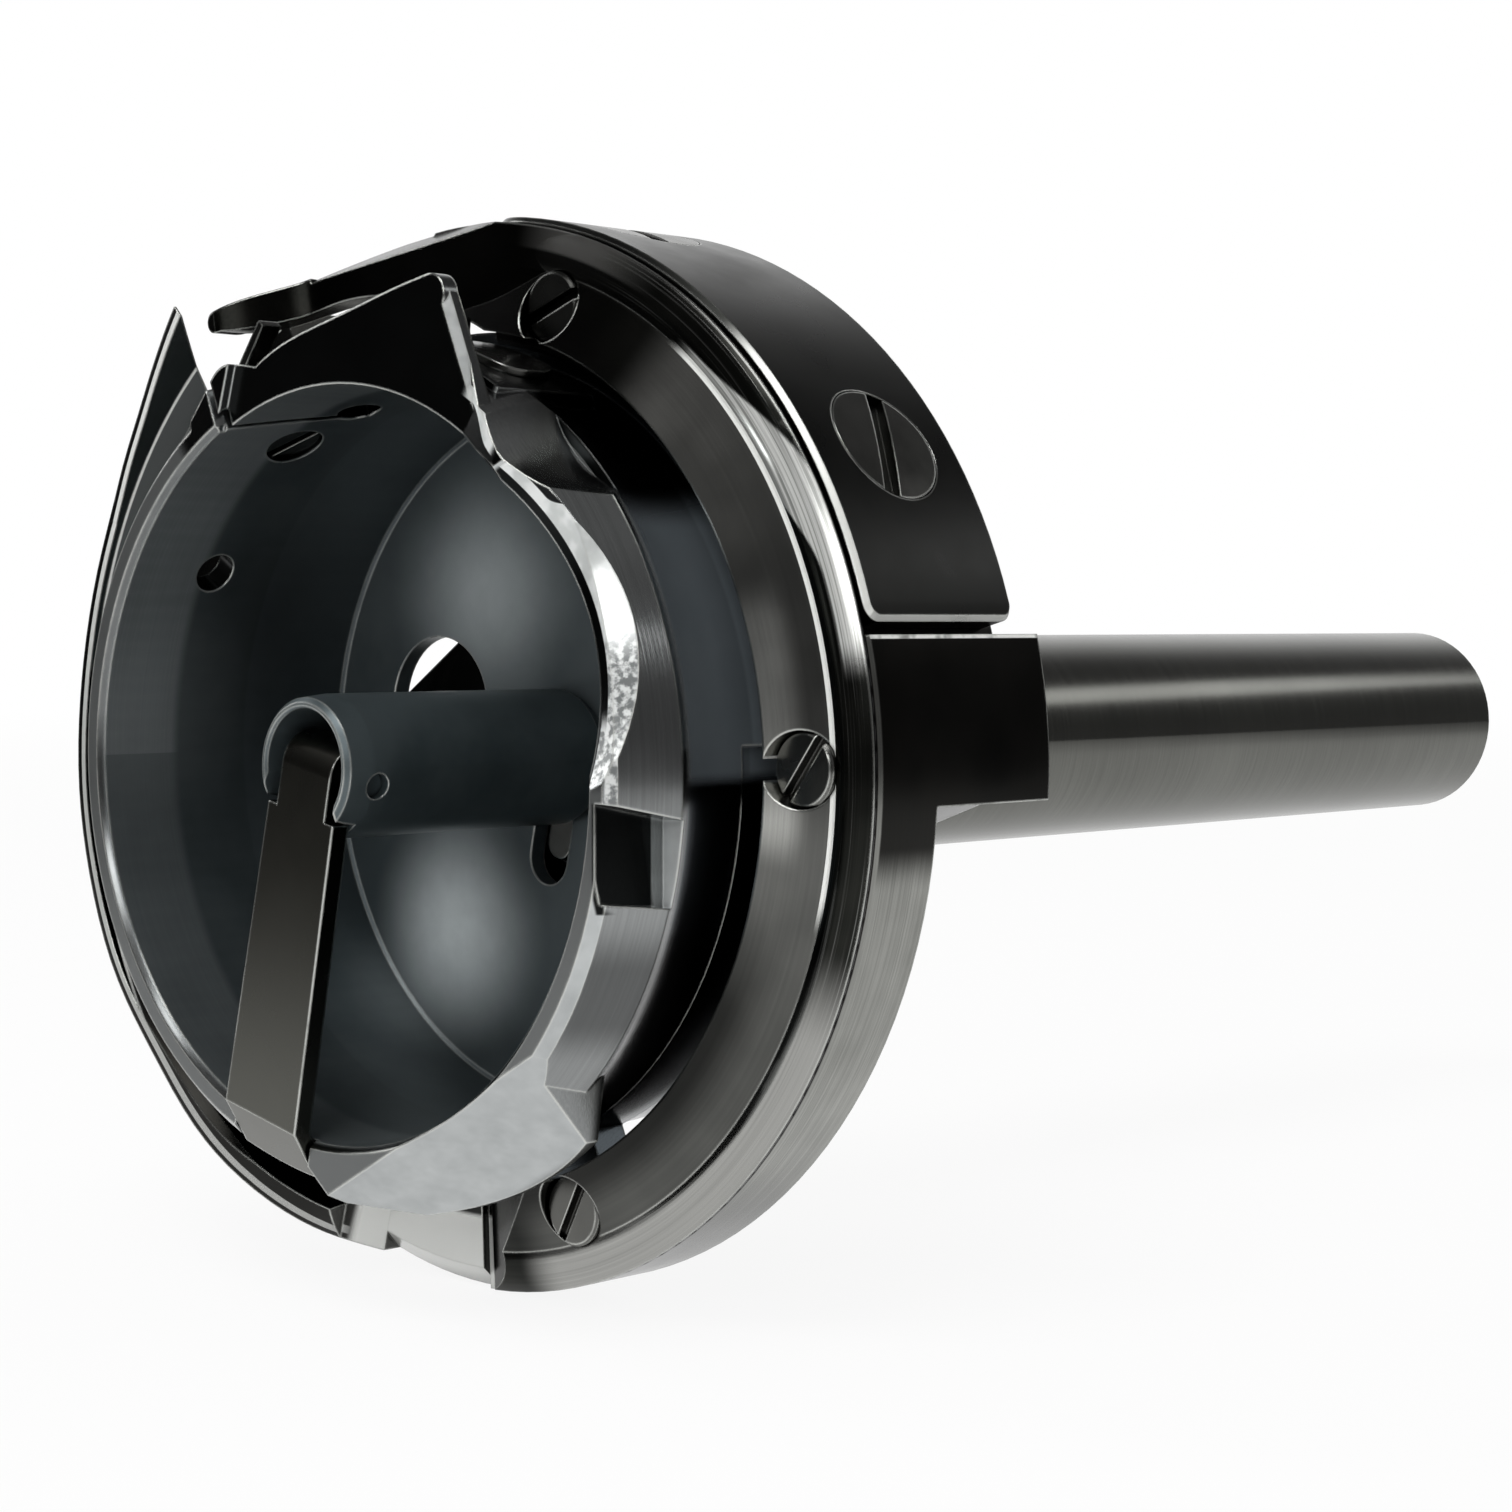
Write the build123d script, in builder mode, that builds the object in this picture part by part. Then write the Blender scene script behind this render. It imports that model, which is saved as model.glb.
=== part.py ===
from build123d import *
from math import asin, cos, degrees, radians, sin, sqrt, tan
import os

# Rotary sewing hook with its bobbin case base and flip latch.
# The hook turns about the Y axis: -Y is the open front, +Y runs along the shaft, +Z is up.
# The origin is on the axis where the bearing journal starts, just behind the hub.
# Angles are measured about the axis as seen from the front: 0 = +X, 90 = +Z.

# ---- driving sizes, millimetres and degrees ----
# running clearances
race_gap = 0.2            # bearing rib to race, radially and axially
pin_gap = 0.03            # hinge pin in its bores
fit_gap = 0.01            # pressed and screwed seats
latch_gap = 0.15          # latch bar in its notches
floor_gap = 0.6           # case floor to the hub's front face

# shaft and hub
shaft_r = 5.0
journal_len = 57.0
shaft_nose = 0.7
seat_step = 0.2           # journal to the smaller seat in the hub
hub_relief = 0.5          # hub's rear face to the journal
hub_r = 8.55
face_to_journal = 16.0    # parting face of hook and ring to the journal
hub_chamfer = 0.5

# hook rim
rim_wall = 4.15           # race to the outside of the rim
skirt_len = 3.8
race_len = 2.2
shoulder_in = 0.7         # race shoulder and lips, inside the race
lip_len = 1.4
rim_right_from = -88.0
rim_right_to = 88.0
throat_end = 119.5
lip_to = 255.0
lip_slope_from = 250.7    # where the lip starts to slope down to the flat
facet_rise = 0.35         # flat at the bottom, ahead of the parting face
facet_bevel = 0.9         # its sloping outer edge
rim_bevel = 0.35

# rear arms
arm_len = 3.8
lug_from = -3.2
lug_to = 13.8
lug_front = 0.3
arm_half = 3.1
counter_angle = 213.7
wall_out = 0.2            # inside of the rear walls, outside the race

# hook blade
blade_t = 1.6
blade_edge_t = 0.55
blade_thin_y = 4.1
blade_mid_t = 1.3
blade_mid_y = 3.3
blade_tip_angle = 120.5
blade_reach = 6.85        # tip ahead of the parting face
blade_join = 150.0

# retaining ring with its finger
ring_in = 0.2             # ring's front edge, inside the race
ring_t = 1.38
ring_step_in = 1.67       # rounded rim of the ring
ring_step_t = 0.44
ring_edge_t = 0.12
ring_from = -87.0
ring_to = 96.0
inner_lip_to = 83.0
ring_end_slope = 9.5
inner_lip_front = 0.75
inner_lip_from = 3.7
finger_from = 70.0
finger_to = 122.4
finger_reach = 4.8        # tip ahead of the parting face
finger_tip_t = 0.9
finger_inside = [(118.0, 1.3), (112.5, 1.45), (106.0, 1.85), (94.0, 3.15), (87.0, 3.95)]  # angle, width
finger_flat_from = 112.6  # flat that takes the outer corner off
finger_flat_mid = 102.0
finger_flat_to = 91.0

# ring screws
ring_screw_angles = (0.7, -70.0, 73.5)
ring_screw_out = 1.2      # screw centres, outside the race
ring_head_r = 1.45
ring_head_t = 0.75
ring_shank_r = 0.8
ring_shank_len = 2.9
screw_slot = 0.45
ring_slot_angles = (53.0, 63.0, 20.0)
ring_slot_depth = 0.4
ring_seat = 0.3

# guard plate
plate_proud = 0.3
plate_t = 1.25
plate_from = 15.0
plate_to = 92.0
plate_lead = 3.5          # rounded corner beside the throat
plate_front = 0.15
plate_rear = 8.6
plate_corner = 0.7
plate_bevel = 0.2
guard_screw_angles = (34.3, 77.0)
guard_screw_y = 4.5
guard_head_r = 2.5
guard_head_t = 0.8
guard_shank_r = 1.5
guard_shank_len = 2.4
guard_slot = 0.8
guard_slot_depth = 0.5
guard_slot_turn = 90.0 - 22.0

# bobbin case base
cavity_r = 14.9
rim_y = 8.03              # front land ahead of the parting face
floor_y = 4.91            # floor top behind the parting face
floor_t = 0.8
back_wall = 0.65
back_round = 1.0
front_wall = 1.3
front_chamfer = 0.4
mouth_bevel = 0.24
floor_bevel = 0.15
edge_wall = 1.7
edge_y = 4.75
waist_wall = 1.05
waist_y = 2.2
rib_t = 1.8
rib_h = 1.85
rib_cut_from = -66.0
rib_cut_to = 3.7

# horn
horn_front = 7.6
horn_to = 58.0
ramp_to = 49.0           # end of the ramp from the horn face to the land
flank_bevel = 0.3
horn_t = 1.15
horn_h = 4.75             # tip beyond the cavity wall
horn_scoop_r = 6.0
horn_scoop_wall = 0.8
horn_scoop_angle = 48.0
scoop_depth = 4.0
boss_h = 2.2              # wall end beside the thread slit
boss_t = 1.8

# bottom lug with its polished facet
lug_h = 3.0
lug_right = -51.2
lug_mid = -66.0
lug_left = -80.0
lug_rear = 3.9
facet_angle = -60.7
facet_in = 0.1
facet_slope = 51.0

# dip in the mouth on the right: a flat strip inside, a slope falling away outside
dip_angle = 23.5
dip_y = 6.67              # lowest line, ahead of the parting face
dip_r = 15.7
dip_strip = 0.65
slope_angle = 21.0
slope_lean = 36.0
slope_r = 19.0

# notch for the machine's positioning finger
notch_low = -4.45
notch_high = -0.85
notch_wall = 0.5
notch_back = 4.6
notch_fall = 0.7         # upper edge, lower at the back
notch_fall_low = 0.35    # lower edge, lower at the back
notch_fillet = 0.5

# wall and floor openings
floor_hole_x = -7.95
floor_hole_z = 1.9
floor_hole_r = 3.1
slot_w = 2.24
slot_end_r = 5.6
wall_hole_angle = 148.7
wall_hole_y = 3.6
wall_hole_r = 0.9
slit_w = 0.4
slit_front_angle = 117.0
slit_back_angle = 107.5
slit_back_y = 1.7
eye_angle = 106.5
eye_y = 2.6
eye_r = 0.9

# thread tension spring
pad_from = 60.0
pad_to = 127.0
pad_h = 0.05
pad_front = 6.2
pad_rear = 1.3
leaf_t = 0.3
leaf_w = 2.9
leaf_y = 3.5
leaf_from = 64.0
leaf_to = 124.0
tail_from = 109.5         # tail that stands off the pad beside the throat
tail_h = 2.05
tail_front = 6.1
tail_rear = 5.15
fixing_angle = 119.5
adjust_angle = 84.0
fixing_r = 1.2
fixing_head_t = 0.75
adjust_r = 0.75
adjust_head_r = 1.25
adjust_head_t = 0.8
adjust_depth = 0.9

# centre post
post_r = 2.85
post_bore = 2.3
post_tip = 9.0
post_round = 0.2
post_seat_step = 0.25     # post to its smaller seat in the floor
post_relief = 0.5         # floor to the bobbin's wall
post_taper = 0.12         # lead-in of the tip

# flip latch
latch_angle = -102.5
latch_front = 8.8
latch_t = 0.8
latch_root_w = 3.0
latch_w = 4.05
latch_foot_w = 4.5
latch_over = 1.55         # foot beyond the cavity wall
latch_bend_in = 0.5
latch_bend_drop = 1.45
latch_root = 1.85
latch_hub_r = 1.3
latch_hub_w = 3.0
hinge_off = 0.1
hinge_pin_r = 0.5
pin_inset = 0.4           # pin's flat ends inside the post's wall

# latch spring
spring_t = 0.3
spring_w = 1.4
spring_reach = 4.5
spring_wall = 0.15        # spring leg to the bore of the post

# ---- derived places ----
face_y = -face_to_journal
seat_r = shaft_r - seat_step
hub_front = face_y + floor_y + floor_t + floor_gap
case_rim = face_y - rim_y
case_floor = face_y + floor_y
case_back = case_floor + floor_t
back_r = cavity_r + back_wall
rib_r = back_r + rib_h
rib_front = face_y + race_gap
race_r = rib_r + race_gap
hook_r = race_r + rim_wall
shoulder_r = race_r - shoulder_in
lip_r = race_r - shoulder_in
inner_lip_r = race_r - shoulder_in
wall_r = race_r + wall_out
ring_in_r = race_r - ring_in
ring_step_r = hook_r - ring_step_in
ring_screw_r = race_r + ring_screw_out
plate_r = hook_r + plate_proud
front_r = cavity_r + front_wall
edge_r = cavity_r + edge_wall
waist_r = cavity_r + waist_wall
pad_r = edge_r + pad_h
notch_floor = cavity_r + notch_wall
lug_reach = cavity_r + lug_h
boss_r = cavity_r + boss_h
facet_at = cavity_r - facet_in
horn_scoop_at = cavity_r + horn_scoop_wall + horn_scoop_r
latch_reach = cavity_r + latch_over
latch_bend = cavity_r - latch_bend_in
latch_dir = Vector(cos(radians(latch_angle)), 0, sin(radians(latch_angle)))
hinge_y = face_y - latch_front + latch_hub_r
plate_seat = plate_r - plate_t
post_tip_y = face_y - post_tip
post_seat_r = post_r - post_seat_step
post_foot_y = case_floor - post_relief
latch_front_y = face_y - latch_front
latch_rear_y = latch_front_y + latch_t
post_lead_y = latch_rear_y + 2 * latch_gap
latch_end = sqrt(latch_reach**2 - (latch_foot_w / 2) ** 2)
latch_drop_rate = latch_bend_drop / (latch_reach - latch_bend)
foot_share = (latch_reach + 0.3 - latch_bend) / (latch_reach - latch_bend)


def front(y):
    """Sketch plane square to the axis, seen from the front; positive extrusion comes forward."""
    return Plane.XZ.offset(-y)


def radial(angle):
    """Half plane through the axis: local x is the radius, local y is world Y."""
    a = radians(angle)
    return Plane(origin=(0, 0, 0), x_dir=(cos(a), 0, sin(a)), z_dir=(-sin(a), 0, cos(a)))


def outward(angle, radius, y):
    """Plane facing outwards at an angle: local x runs against the angle, local y is world Y."""
    a = radians(angle)
    at = (radius * cos(a), y, radius * sin(a))
    return Plane(origin=at, x_dir=(sin(a), 0, -cos(a)), z_dir=(cos(a), 0, sin(a)))


def across(radius, angle, centre):
    """Local x on an outward plane of a point at a radius and angle."""
    return -radius * sin(radians(angle - centre))


def polar(radius, angle):
    return (radius * cos(radians(angle)), radius * sin(radians(angle)))


def plan(along, aside):
    """Point on a front plane, along the closed latch and to its side."""
    a = radians(latch_angle)
    return (along * cos(a) - aside * sin(a), along * sin(a) + aside * cos(a))


# ---- hook shaft: ground journal pressed through the hub ----
with BuildPart() as hook_shaft:
    with BuildSketch(Plane.XY):
        with BuildLine():
            Polyline(
                (0, hub_front),
                (seat_r - hub_chamfer, hub_front),
                (seat_r, hub_front + hub_chamfer),
                (seat_r, 0),
                (shaft_r, 0),
                (shaft_r, journal_len - shaft_nose),
                (shaft_r - shaft_nose, journal_len),
                (0, journal_len),
                close=True,
            )
        make_face()
    revolve(axis=Axis.Y)
hook_shaft.part.label = "hook_shaft"

# ---- blade: thin curved point ahead of the rim, in a root and a point that overlap ----
blade_edge = [  # angle, share of the tip's reach
    (126.5, 0.898),
    (132.6, 0.807),
    (138.6, 0.736),
    (144.2, 0.693),
    (149.6, 0.658),
    (157.0, 0.643),
    (170.0, 0.642),
    (184.0, 0.656),
    (198.0, 0.647),
    (208.0, 0.625),
    (218.9, 0.561),
    (231.0, 0.526),
    (240.4, 0.434),
    (248.5, 0.282),
    (252.7, 0.143),
    (257.0, -0.015),
]
blade_section = [
    (hook_r, face_y),
    (hook_r, face_y - blade_reach - 1),
    (hook_r - blade_edge_t, face_y - blade_reach - 1),
    (hook_r - blade_edge_t, face_y - blade_thin_y),
    (hook_r - blade_mid_t, face_y - blade_mid_y),
    (hook_r - blade_t, face_y - lip_len),
    (hook_r - blade_t, face_y),
]
with BuildPart() as blade_point:
    with BuildSketch(radial(blade_join + 2)):
        with BuildLine():
            Polyline(*blade_section, close=True)
        make_face()
    revolve(axis=Axis.Y, revolution_arc=blade_join + 6 - blade_tip_angle)
    point_mid = 134.0
    with BuildSketch(outward(point_mid, 0, face_y)):
        with BuildLine():
            Spline(
                (across(hook_r, blade_tip_angle, point_mid), -blade_reach),
                *[(across(hook_r, a, point_mid), -share * blade_reach) for a, share in blade_edge[:6]],
            )
            Polyline(
                (across(hook_r, blade_edge[5][0], point_mid), -blade_edge[5][1] * blade_reach),
                (across(hook_r, blade_edge[5][0], point_mid), 1.0),
                (across(hook_r, 140.0, point_mid), 1.0),
                (across(hook_r, 137.6, point_mid), -lip_len),
                (across(hook_r, 130.6, point_mid), -0.511 * blade_reach),
                (across(hook_r, 124.5, point_mid), -0.796 * blade_reach),
                (across(hook_r, blade_tip_angle, point_mid), 0.12 - blade_reach),
                (across(hook_r, blade_tip_angle, point_mid), -blade_reach),
            )
        make_face()
    extrude(amount=hook_r + 2, mode=Mode.INTERSECT)
with BuildPart() as blade_root:
    with BuildSketch(radial(lip_to - 1)):
        with BuildLine():
            Polyline(*blade_section, close=True)
        make_face()
    revolve(axis=Axis.Y, revolution_arc=lip_to - 1 - blade_join)
    root_mid = 200.0
    with BuildSketch(outward(root_mid, 0, face_y)):
        with BuildLine():
            Spline(*[(across(hook_r, a, root_mid), -share * blade_reach) for a, share in blade_edge[2:]])
            Polyline(
                (across(hook_r, blade_edge[-1][0], root_mid), -blade_edge[-1][1] * blade_reach),
                (across(hook_r, blade_edge[-1][0], root_mid), 1.0),
                (across(hook_r, blade_edge[2][0], root_mid), 1.0),
                (across(hook_r, blade_edge[2][0], root_mid), -blade_edge[2][1] * blade_reach),
            )
        make_face()
    extrude(amount=hook_r + 2, mode=Mode.INTERSECT)

# ---- hook body ----
with BuildPart() as hook_body:
    # rim, right side, behind the retaining ring
    with BuildSketch(radial(rim_right_to)):
        with BuildLine():
            Polyline(
                (race_r, face_y),
                (hook_r, face_y),
                (hook_r, face_y + skirt_len - rim_bevel),
                (hook_r - rim_bevel, face_y + skirt_len),
                (shoulder_r, face_y + skirt_len),
                (shoulder_r, face_y + race_len),
                (race_r, face_y + race_len),
                close=True,
            )
        make_face()
    revolve(axis=Axis.Y, revolution_arc=rim_right_to - rim_right_from)
    # rim, left side, with its own retaining lip
    with BuildSketch(radial(lip_to)):
        with BuildLine():
            Polyline(
                (lip_r, face_y),
                (lip_r, face_y - lip_len + rim_bevel),
                (lip_r + rim_bevel, face_y - lip_len),
                (hook_r - rim_bevel, face_y - lip_len),
                (hook_r, face_y - lip_len + rim_bevel),
                (hook_r, face_y + skirt_len - rim_bevel),
                (hook_r - rim_bevel, face_y + skirt_len),
                (shoulder_r, face_y + skirt_len),
                (shoulder_r, face_y + race_len),
                (race_r, face_y + race_len),
                (race_r, face_y),
                close=True,
            )
        make_face()
    revolve(axis=Axis.Y, revolution_arc=lip_to - throat_end)
    # flat at the bottom between the lip and the end of the ring
    with BuildSketch(radial(360 + rim_right_from)):
        with BuildLine():
            Polyline(
                (race_r, face_y - facet_rise),
                (hook_r - facet_bevel, face_y - facet_rise),
                (hook_r, face_y - facet_rise + facet_bevel),
                (hook_r, face_y + skirt_len - rim_bevel),
                (hook_r - rim_bevel, face_y + skirt_len),
                (shoulder_r, face_y + skirt_len),
                (shoulder_r, face_y + race_len),
                (race_r, face_y + race_len),
                close=True,
            )
        make_face()
    revolve(axis=Axis.Y, revolution_arc=360 + rim_right_from - lip_to)
    # wall under the guard plate
    with BuildSketch(radial(rim_right_to)):
        with BuildLine():
            Polyline(
                (wall_r, face_y + race_len),
                (plate_seat - fit_gap, face_y + race_len),
                (plate_seat - fit_gap, face_y + plate_rear),
                (wall_r, face_y + plate_rear),
                close=True,
            )
        make_face()
    revolve(axis=Axis.Y, revolution_arc=rim_right_to - lug_to + 1)
    # recess for the guard plate
    with BuildSketch(radial(rim_right_to + 5)):
        with BuildLine():
            Polyline(
                (plate_seat - fit_gap, face_y + plate_front - race_gap),
                (hook_r + 2, face_y + plate_front - race_gap),
                (hook_r + 2, face_y + plate_rear + 1),
                (plate_seat - fit_gap, face_y + plate_rear + 1),
                close=True,
            )
        make_face()
    revolve(axis=Axis.Y, revolution_arc=rim_right_to + 5 - lug_to, mode=Mode.SUBTRACT)
    # lug on the right, seen beside the guard plate
    with BuildSketch(radial(lug_to)):
        with BuildLine():
            Polyline(
                (wall_r, face_y + race_len),
                (hook_r, face_y + lug_front),
                (hook_r, hub_front + arm_len),
                (wall_r, hub_front + arm_len),
                close=True,
            )
        make_face()
    revolve(axis=Axis.Y, revolution_arc=lug_to - lug_from)
    # rear wall on the counterweight side
    counter_half = degrees(asin(hub_r / wall_r)) - 2
    with BuildSketch(radial(counter_angle + counter_half)):
        with BuildLine():
            Polyline(
                (wall_r, face_y + race_len),
                (hook_r, face_y + race_len),
                (hook_r, hub_front + arm_len - 0.8),
                (hook_r - 0.8, hub_front + arm_len),
                (wall_r, hub_front + arm_len),
                close=True,
            )
        make_face()
    revolve(axis=Axis.Y, revolution_arc=2 * counter_half)
    # hub
    with BuildSketch(front(-hub_relief)):
        Circle(hub_r)
    extrude(amount=-hub_relief - hub_front)
    # slim arm to the lug
    arm_mid = (lug_from + lug_to) / 2
    with BuildSketch(front(hub_front + arm_len)):
        with BuildLine():
            Polyline(
                polar(hub_r, arm_mid + 50),
                polar(wall_r + 1, arm_mid + degrees(asin(arm_half / (wall_r + 1)))),
                polar(wall_r + 1, arm_mid - degrees(asin(arm_half / (wall_r + 1)))),
                polar(hub_r, arm_mid - 50),
                close=True,
            )
        make_face()
    extrude(amount=arm_len)
    # wide arm to the counterweight wall, its sides tangent to the hub
    with BuildSketch(front(hub_front + arm_len)):
        with BuildLine():
            Polyline(
                polar(hub_r, counter_angle + 90),
                polar(hub_r, counter_angle - 90),
                polar(wall_r + 0.6, counter_angle - degrees(asin(hub_r / (wall_r + 0.6)))),
                polar(wall_r + 0.6, counter_angle),
                polar(wall_r + 0.6, counter_angle + degrees(asin(hub_r / (wall_r + 0.6)))),
                close=True,
            )
        make_face()
    extrude(amount=arm_len)
    # bore for the shaft
    with BuildSketch(front(0)):
        Circle(seat_r + fit_gap)
    extrude(amount=-hub_front, mode=Mode.SUBTRACT)
    chamfer(hook_body.edges().filter_by(GeomType.CIRCLE).group_by(Axis.Y)[-1], hub_chamfer)
    add(blade_point.part)
    add(blade_root.part)
    # end of the lip, sloping down to the flat
    with BuildSketch(outward(lip_to, 0, face_y)):
        with BuildLine():
            Polyline(
                (across(hook_r, lip_slope_from, lip_to), -lip_len - 0.05),
                (0, -facet_rise),
                (across(hook_r, lip_to + 8, lip_to), -facet_rise),
                (across(hook_r, lip_to + 8, lip_to), -lip_len - 3),
                (across(hook_r, lip_slope_from, lip_to), -lip_len - 3),
                close=True,
            )
        make_face()
    extrude(amount=hook_r + 2, mode=Mode.SUBTRACT)
    # tapped holes for the ring screws
    for angle in ring_screw_angles:
        with BuildSketch(front(face_y + ring_shank_len)):
            with Locations(polar(ring_screw_r, angle)):
                Circle(ring_shank_r + fit_gap)
        extrude(amount=ring_shank_len + 2, mode=Mode.SUBTRACT)
    # tapped holes for the guard screws
    for angle in guard_screw_angles:
        with BuildSketch(outward(angle, plate_r - guard_head_t - guard_shank_len, face_y + guard_screw_y)):
            Circle(guard_shank_r + fit_gap)
        extrude(amount=guard_shank_len, mode=Mode.SUBTRACT)
hook_body.part.label = "hook_body"

# ---- retaining ring, conical, with the finger over the throat ----
finger_mid = 100.0
finger_edge = [  # angle, share of the tip's reach
    (78.0, 0.09),
    (85.0, 0.19),
    (93.0, 0.24),
    (104.0, 0.28),
    (110.0, 0.32),
    (112.6, 0.38),
    (115.0, 0.55),
    (118.5, 0.87),
]
finger_curve = [polar(hook_r - w, a) for a, w in finger_inside] + [polar(ring_in_r, inner_lip_to)]
with BuildPart() as finger:
    with BuildSketch(front(face_y)):
        with BuildLine():
            ThreePointArc(
                polar(hook_r, finger_from), polar(hook_r, finger_mid), polar(hook_r, finger_to - 1.6)
            )
            ThreePointArc(
                polar(hook_r, finger_to - 1.6),
                polar(hook_r - 0.4 * finger_tip_t, finger_to),
                polar(hook_r - finger_tip_t, finger_to - 1.2),
            )
            Spline(polar(hook_r - finger_tip_t, finger_to - 1.2), *finger_curve)
            Polyline(
                polar(ring_in_r, inner_lip_to),
                polar(ring_step_r + 0.2, finger_from),
                polar(hook_r, finger_from),
            )
        make_face()
    extrude(amount=finger_reach + 1)
    with BuildSketch(outward(finger_mid, 0, face_y)):
        with BuildLine():
            Spline(
                (across(hook_r, finger_from, finger_mid), 0),
                *[(across(hook_r, a, finger_mid), -share * finger_reach) for a, share in finger_edge],
                (across(hook_r, finger_to - 1.6, finger_mid), -finger_reach),
            )
            Polyline(
                (across(hook_r, finger_to - 1.6, finger_mid), -finger_reach),
                (across(hook_r, finger_to + 0.6, finger_mid), -finger_reach),
                (across(hook_r, finger_to + 0.6, finger_mid), -0.8 * finger_reach),
                (across(hook_r, 121.2, finger_mid), -0.79 * finger_reach),
            )
            Spline(
                (across(hook_r, 121.2, finger_mid), -0.79 * finger_reach),
                (across(hook_r, 116.5, finger_mid), -0.4 * finger_reach),
                (across(hook_r, 110.5, finger_mid), -0.09 * finger_reach),
                (across(hook_r, 102, finger_mid), 0),
            )
            Line(
                (across(hook_r, 102, finger_mid), 0),
                (across(hook_r, finger_from, finger_mid), 0),
            )
        make_face()
    extrude(amount=hook_r + 2, mode=Mode.INTERSECT)
    # flat across the outer corner, between three points of the rim
    flat_start = Vector(
        hook_r * cos(radians(finger_flat_from)),
        face_y - 0.3 * finger_reach,
        hook_r * sin(radians(finger_flat_from)),
    )
    flat_middle = Vector(
        hook_r * cos(radians(finger_flat_mid)), face_y - 0.05, hook_r * sin(radians(finger_flat_mid))
    )
    flat_finish = Vector(
        (hook_r - 0.5) * cos(radians(finger_flat_to)),
        face_y - 0.21 * finger_reach,
        (hook_r - 0.5) * sin(radians(finger_flat_to)),
    )
    flat_run = (flat_finish - flat_start).normalized()
    flat_out = (flat_finish - flat_start).cross(flat_middle - flat_start).normalized()
    with BuildSketch(Plane(origin=flat_start, x_dir=flat_run, z_dir=flat_out)):
        with Locations((9, 0)):
            Rectangle(18, 10)
    extrude(amount=5, mode=Mode.SUBTRACT)

with BuildPart() as retaining_ring:
    with BuildSketch(radial(ring_to)):
        with BuildLine():
            Line((hook_r, face_y), (hook_r, face_y - ring_edge_t))
            ThreePointArc(
                (hook_r, face_y - ring_edge_t),
                (hook_r - 0.45, face_y - ring_step_t + 0.05),
                (ring_step_r, face_y - ring_step_t),
            )
            Polyline(
                (ring_step_r, face_y - ring_step_t),
                (ring_in_r, face_y - ring_t),
                (ring_in_r, face_y),
                (hook_r, face_y),
            )
        make_face()
    revolve(axis=Axis.Y, revolution_arc=ring_to - ring_from)
    # inside of the ring, widening towards the finger
    with BuildSketch(front(face_y + 0.5)):
        with BuildLine():
            Spline(*finger_curve)
            Polyline(
                polar(ring_in_r, inner_lip_to),
                polar(ring_in_r - 3, inner_lip_to),
                polar(ring_in_r - 3, finger_inside[0][0]),
                finger_curve[0],
            )
        make_face()
    extrude(amount=ring_t + 2, mode=Mode.SUBTRACT)
    # set-back inner lip that keeps the bearing rib in the race
    with BuildSketch(radial(inner_lip_to)):
        with BuildLine():
            Polyline(
                (inner_lip_r, face_y),
                (inner_lip_r, face_y - inner_lip_front + 0.2),
                (inner_lip_r + 0.2, face_y - inner_lip_front),
                (ring_in_r + 0.2, face_y - inner_lip_front),
                (ring_in_r + 0.2, face_y),
                close=True,
            )
        make_face()
    revolve(axis=Axis.Y, revolution_arc=inner_lip_to - inner_lip_from)
    # sloping end at the bottom
    with BuildSketch(outward(ring_from, 0, face_y)):
        with BuildLine():
            Polyline(
                (across(hook_r, ring_from - 8, ring_from), 0.01 - ring_edge_t),
                (across(hook_r, ring_from, ring_from), 0.01 - ring_edge_t),
                (across(hook_r, ring_from + ring_end_slope, ring_from), -ring_t - 0.02),
                (across(hook_r, ring_from + ring_end_slope, ring_from), -ring_t - 2),
                (across(hook_r, ring_from - 8, ring_from), -ring_t - 2),
                close=True,
            )
        make_face()
    extrude(amount=hook_r + 2, mode=Mode.SUBTRACT)
    add(finger.part)
    # countersunk seats
    for angle in ring_screw_angles:
        with BuildSketch(front(face_y)):
            with Locations(polar(ring_screw_r, angle)):
                Circle(ring_shank_r + fit_gap)
        extrude(amount=ring_t + 1, mode=Mode.SUBTRACT)
        with BuildSketch(front(face_y - ring_seat + 0.25)):
            with Locations(polar(ring_screw_r, angle)):
                Circle(ring_shank_r + 2 * fit_gap)
        with BuildSketch(front(face_y - ring_seat)):
            with Locations(polar(ring_screw_r, angle)):
                Circle(ring_head_r + fit_gap)
        loft(mode=Mode.SUBTRACT)
        with BuildSketch(front(face_y - ring_seat)):
            with Locations(polar(ring_screw_r, angle)):
                Circle(ring_head_r + fit_gap)
        extrude(amount=ring_t + 1, mode=Mode.SUBTRACT)
retaining_ring.part.label = "retaining_ring"

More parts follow.
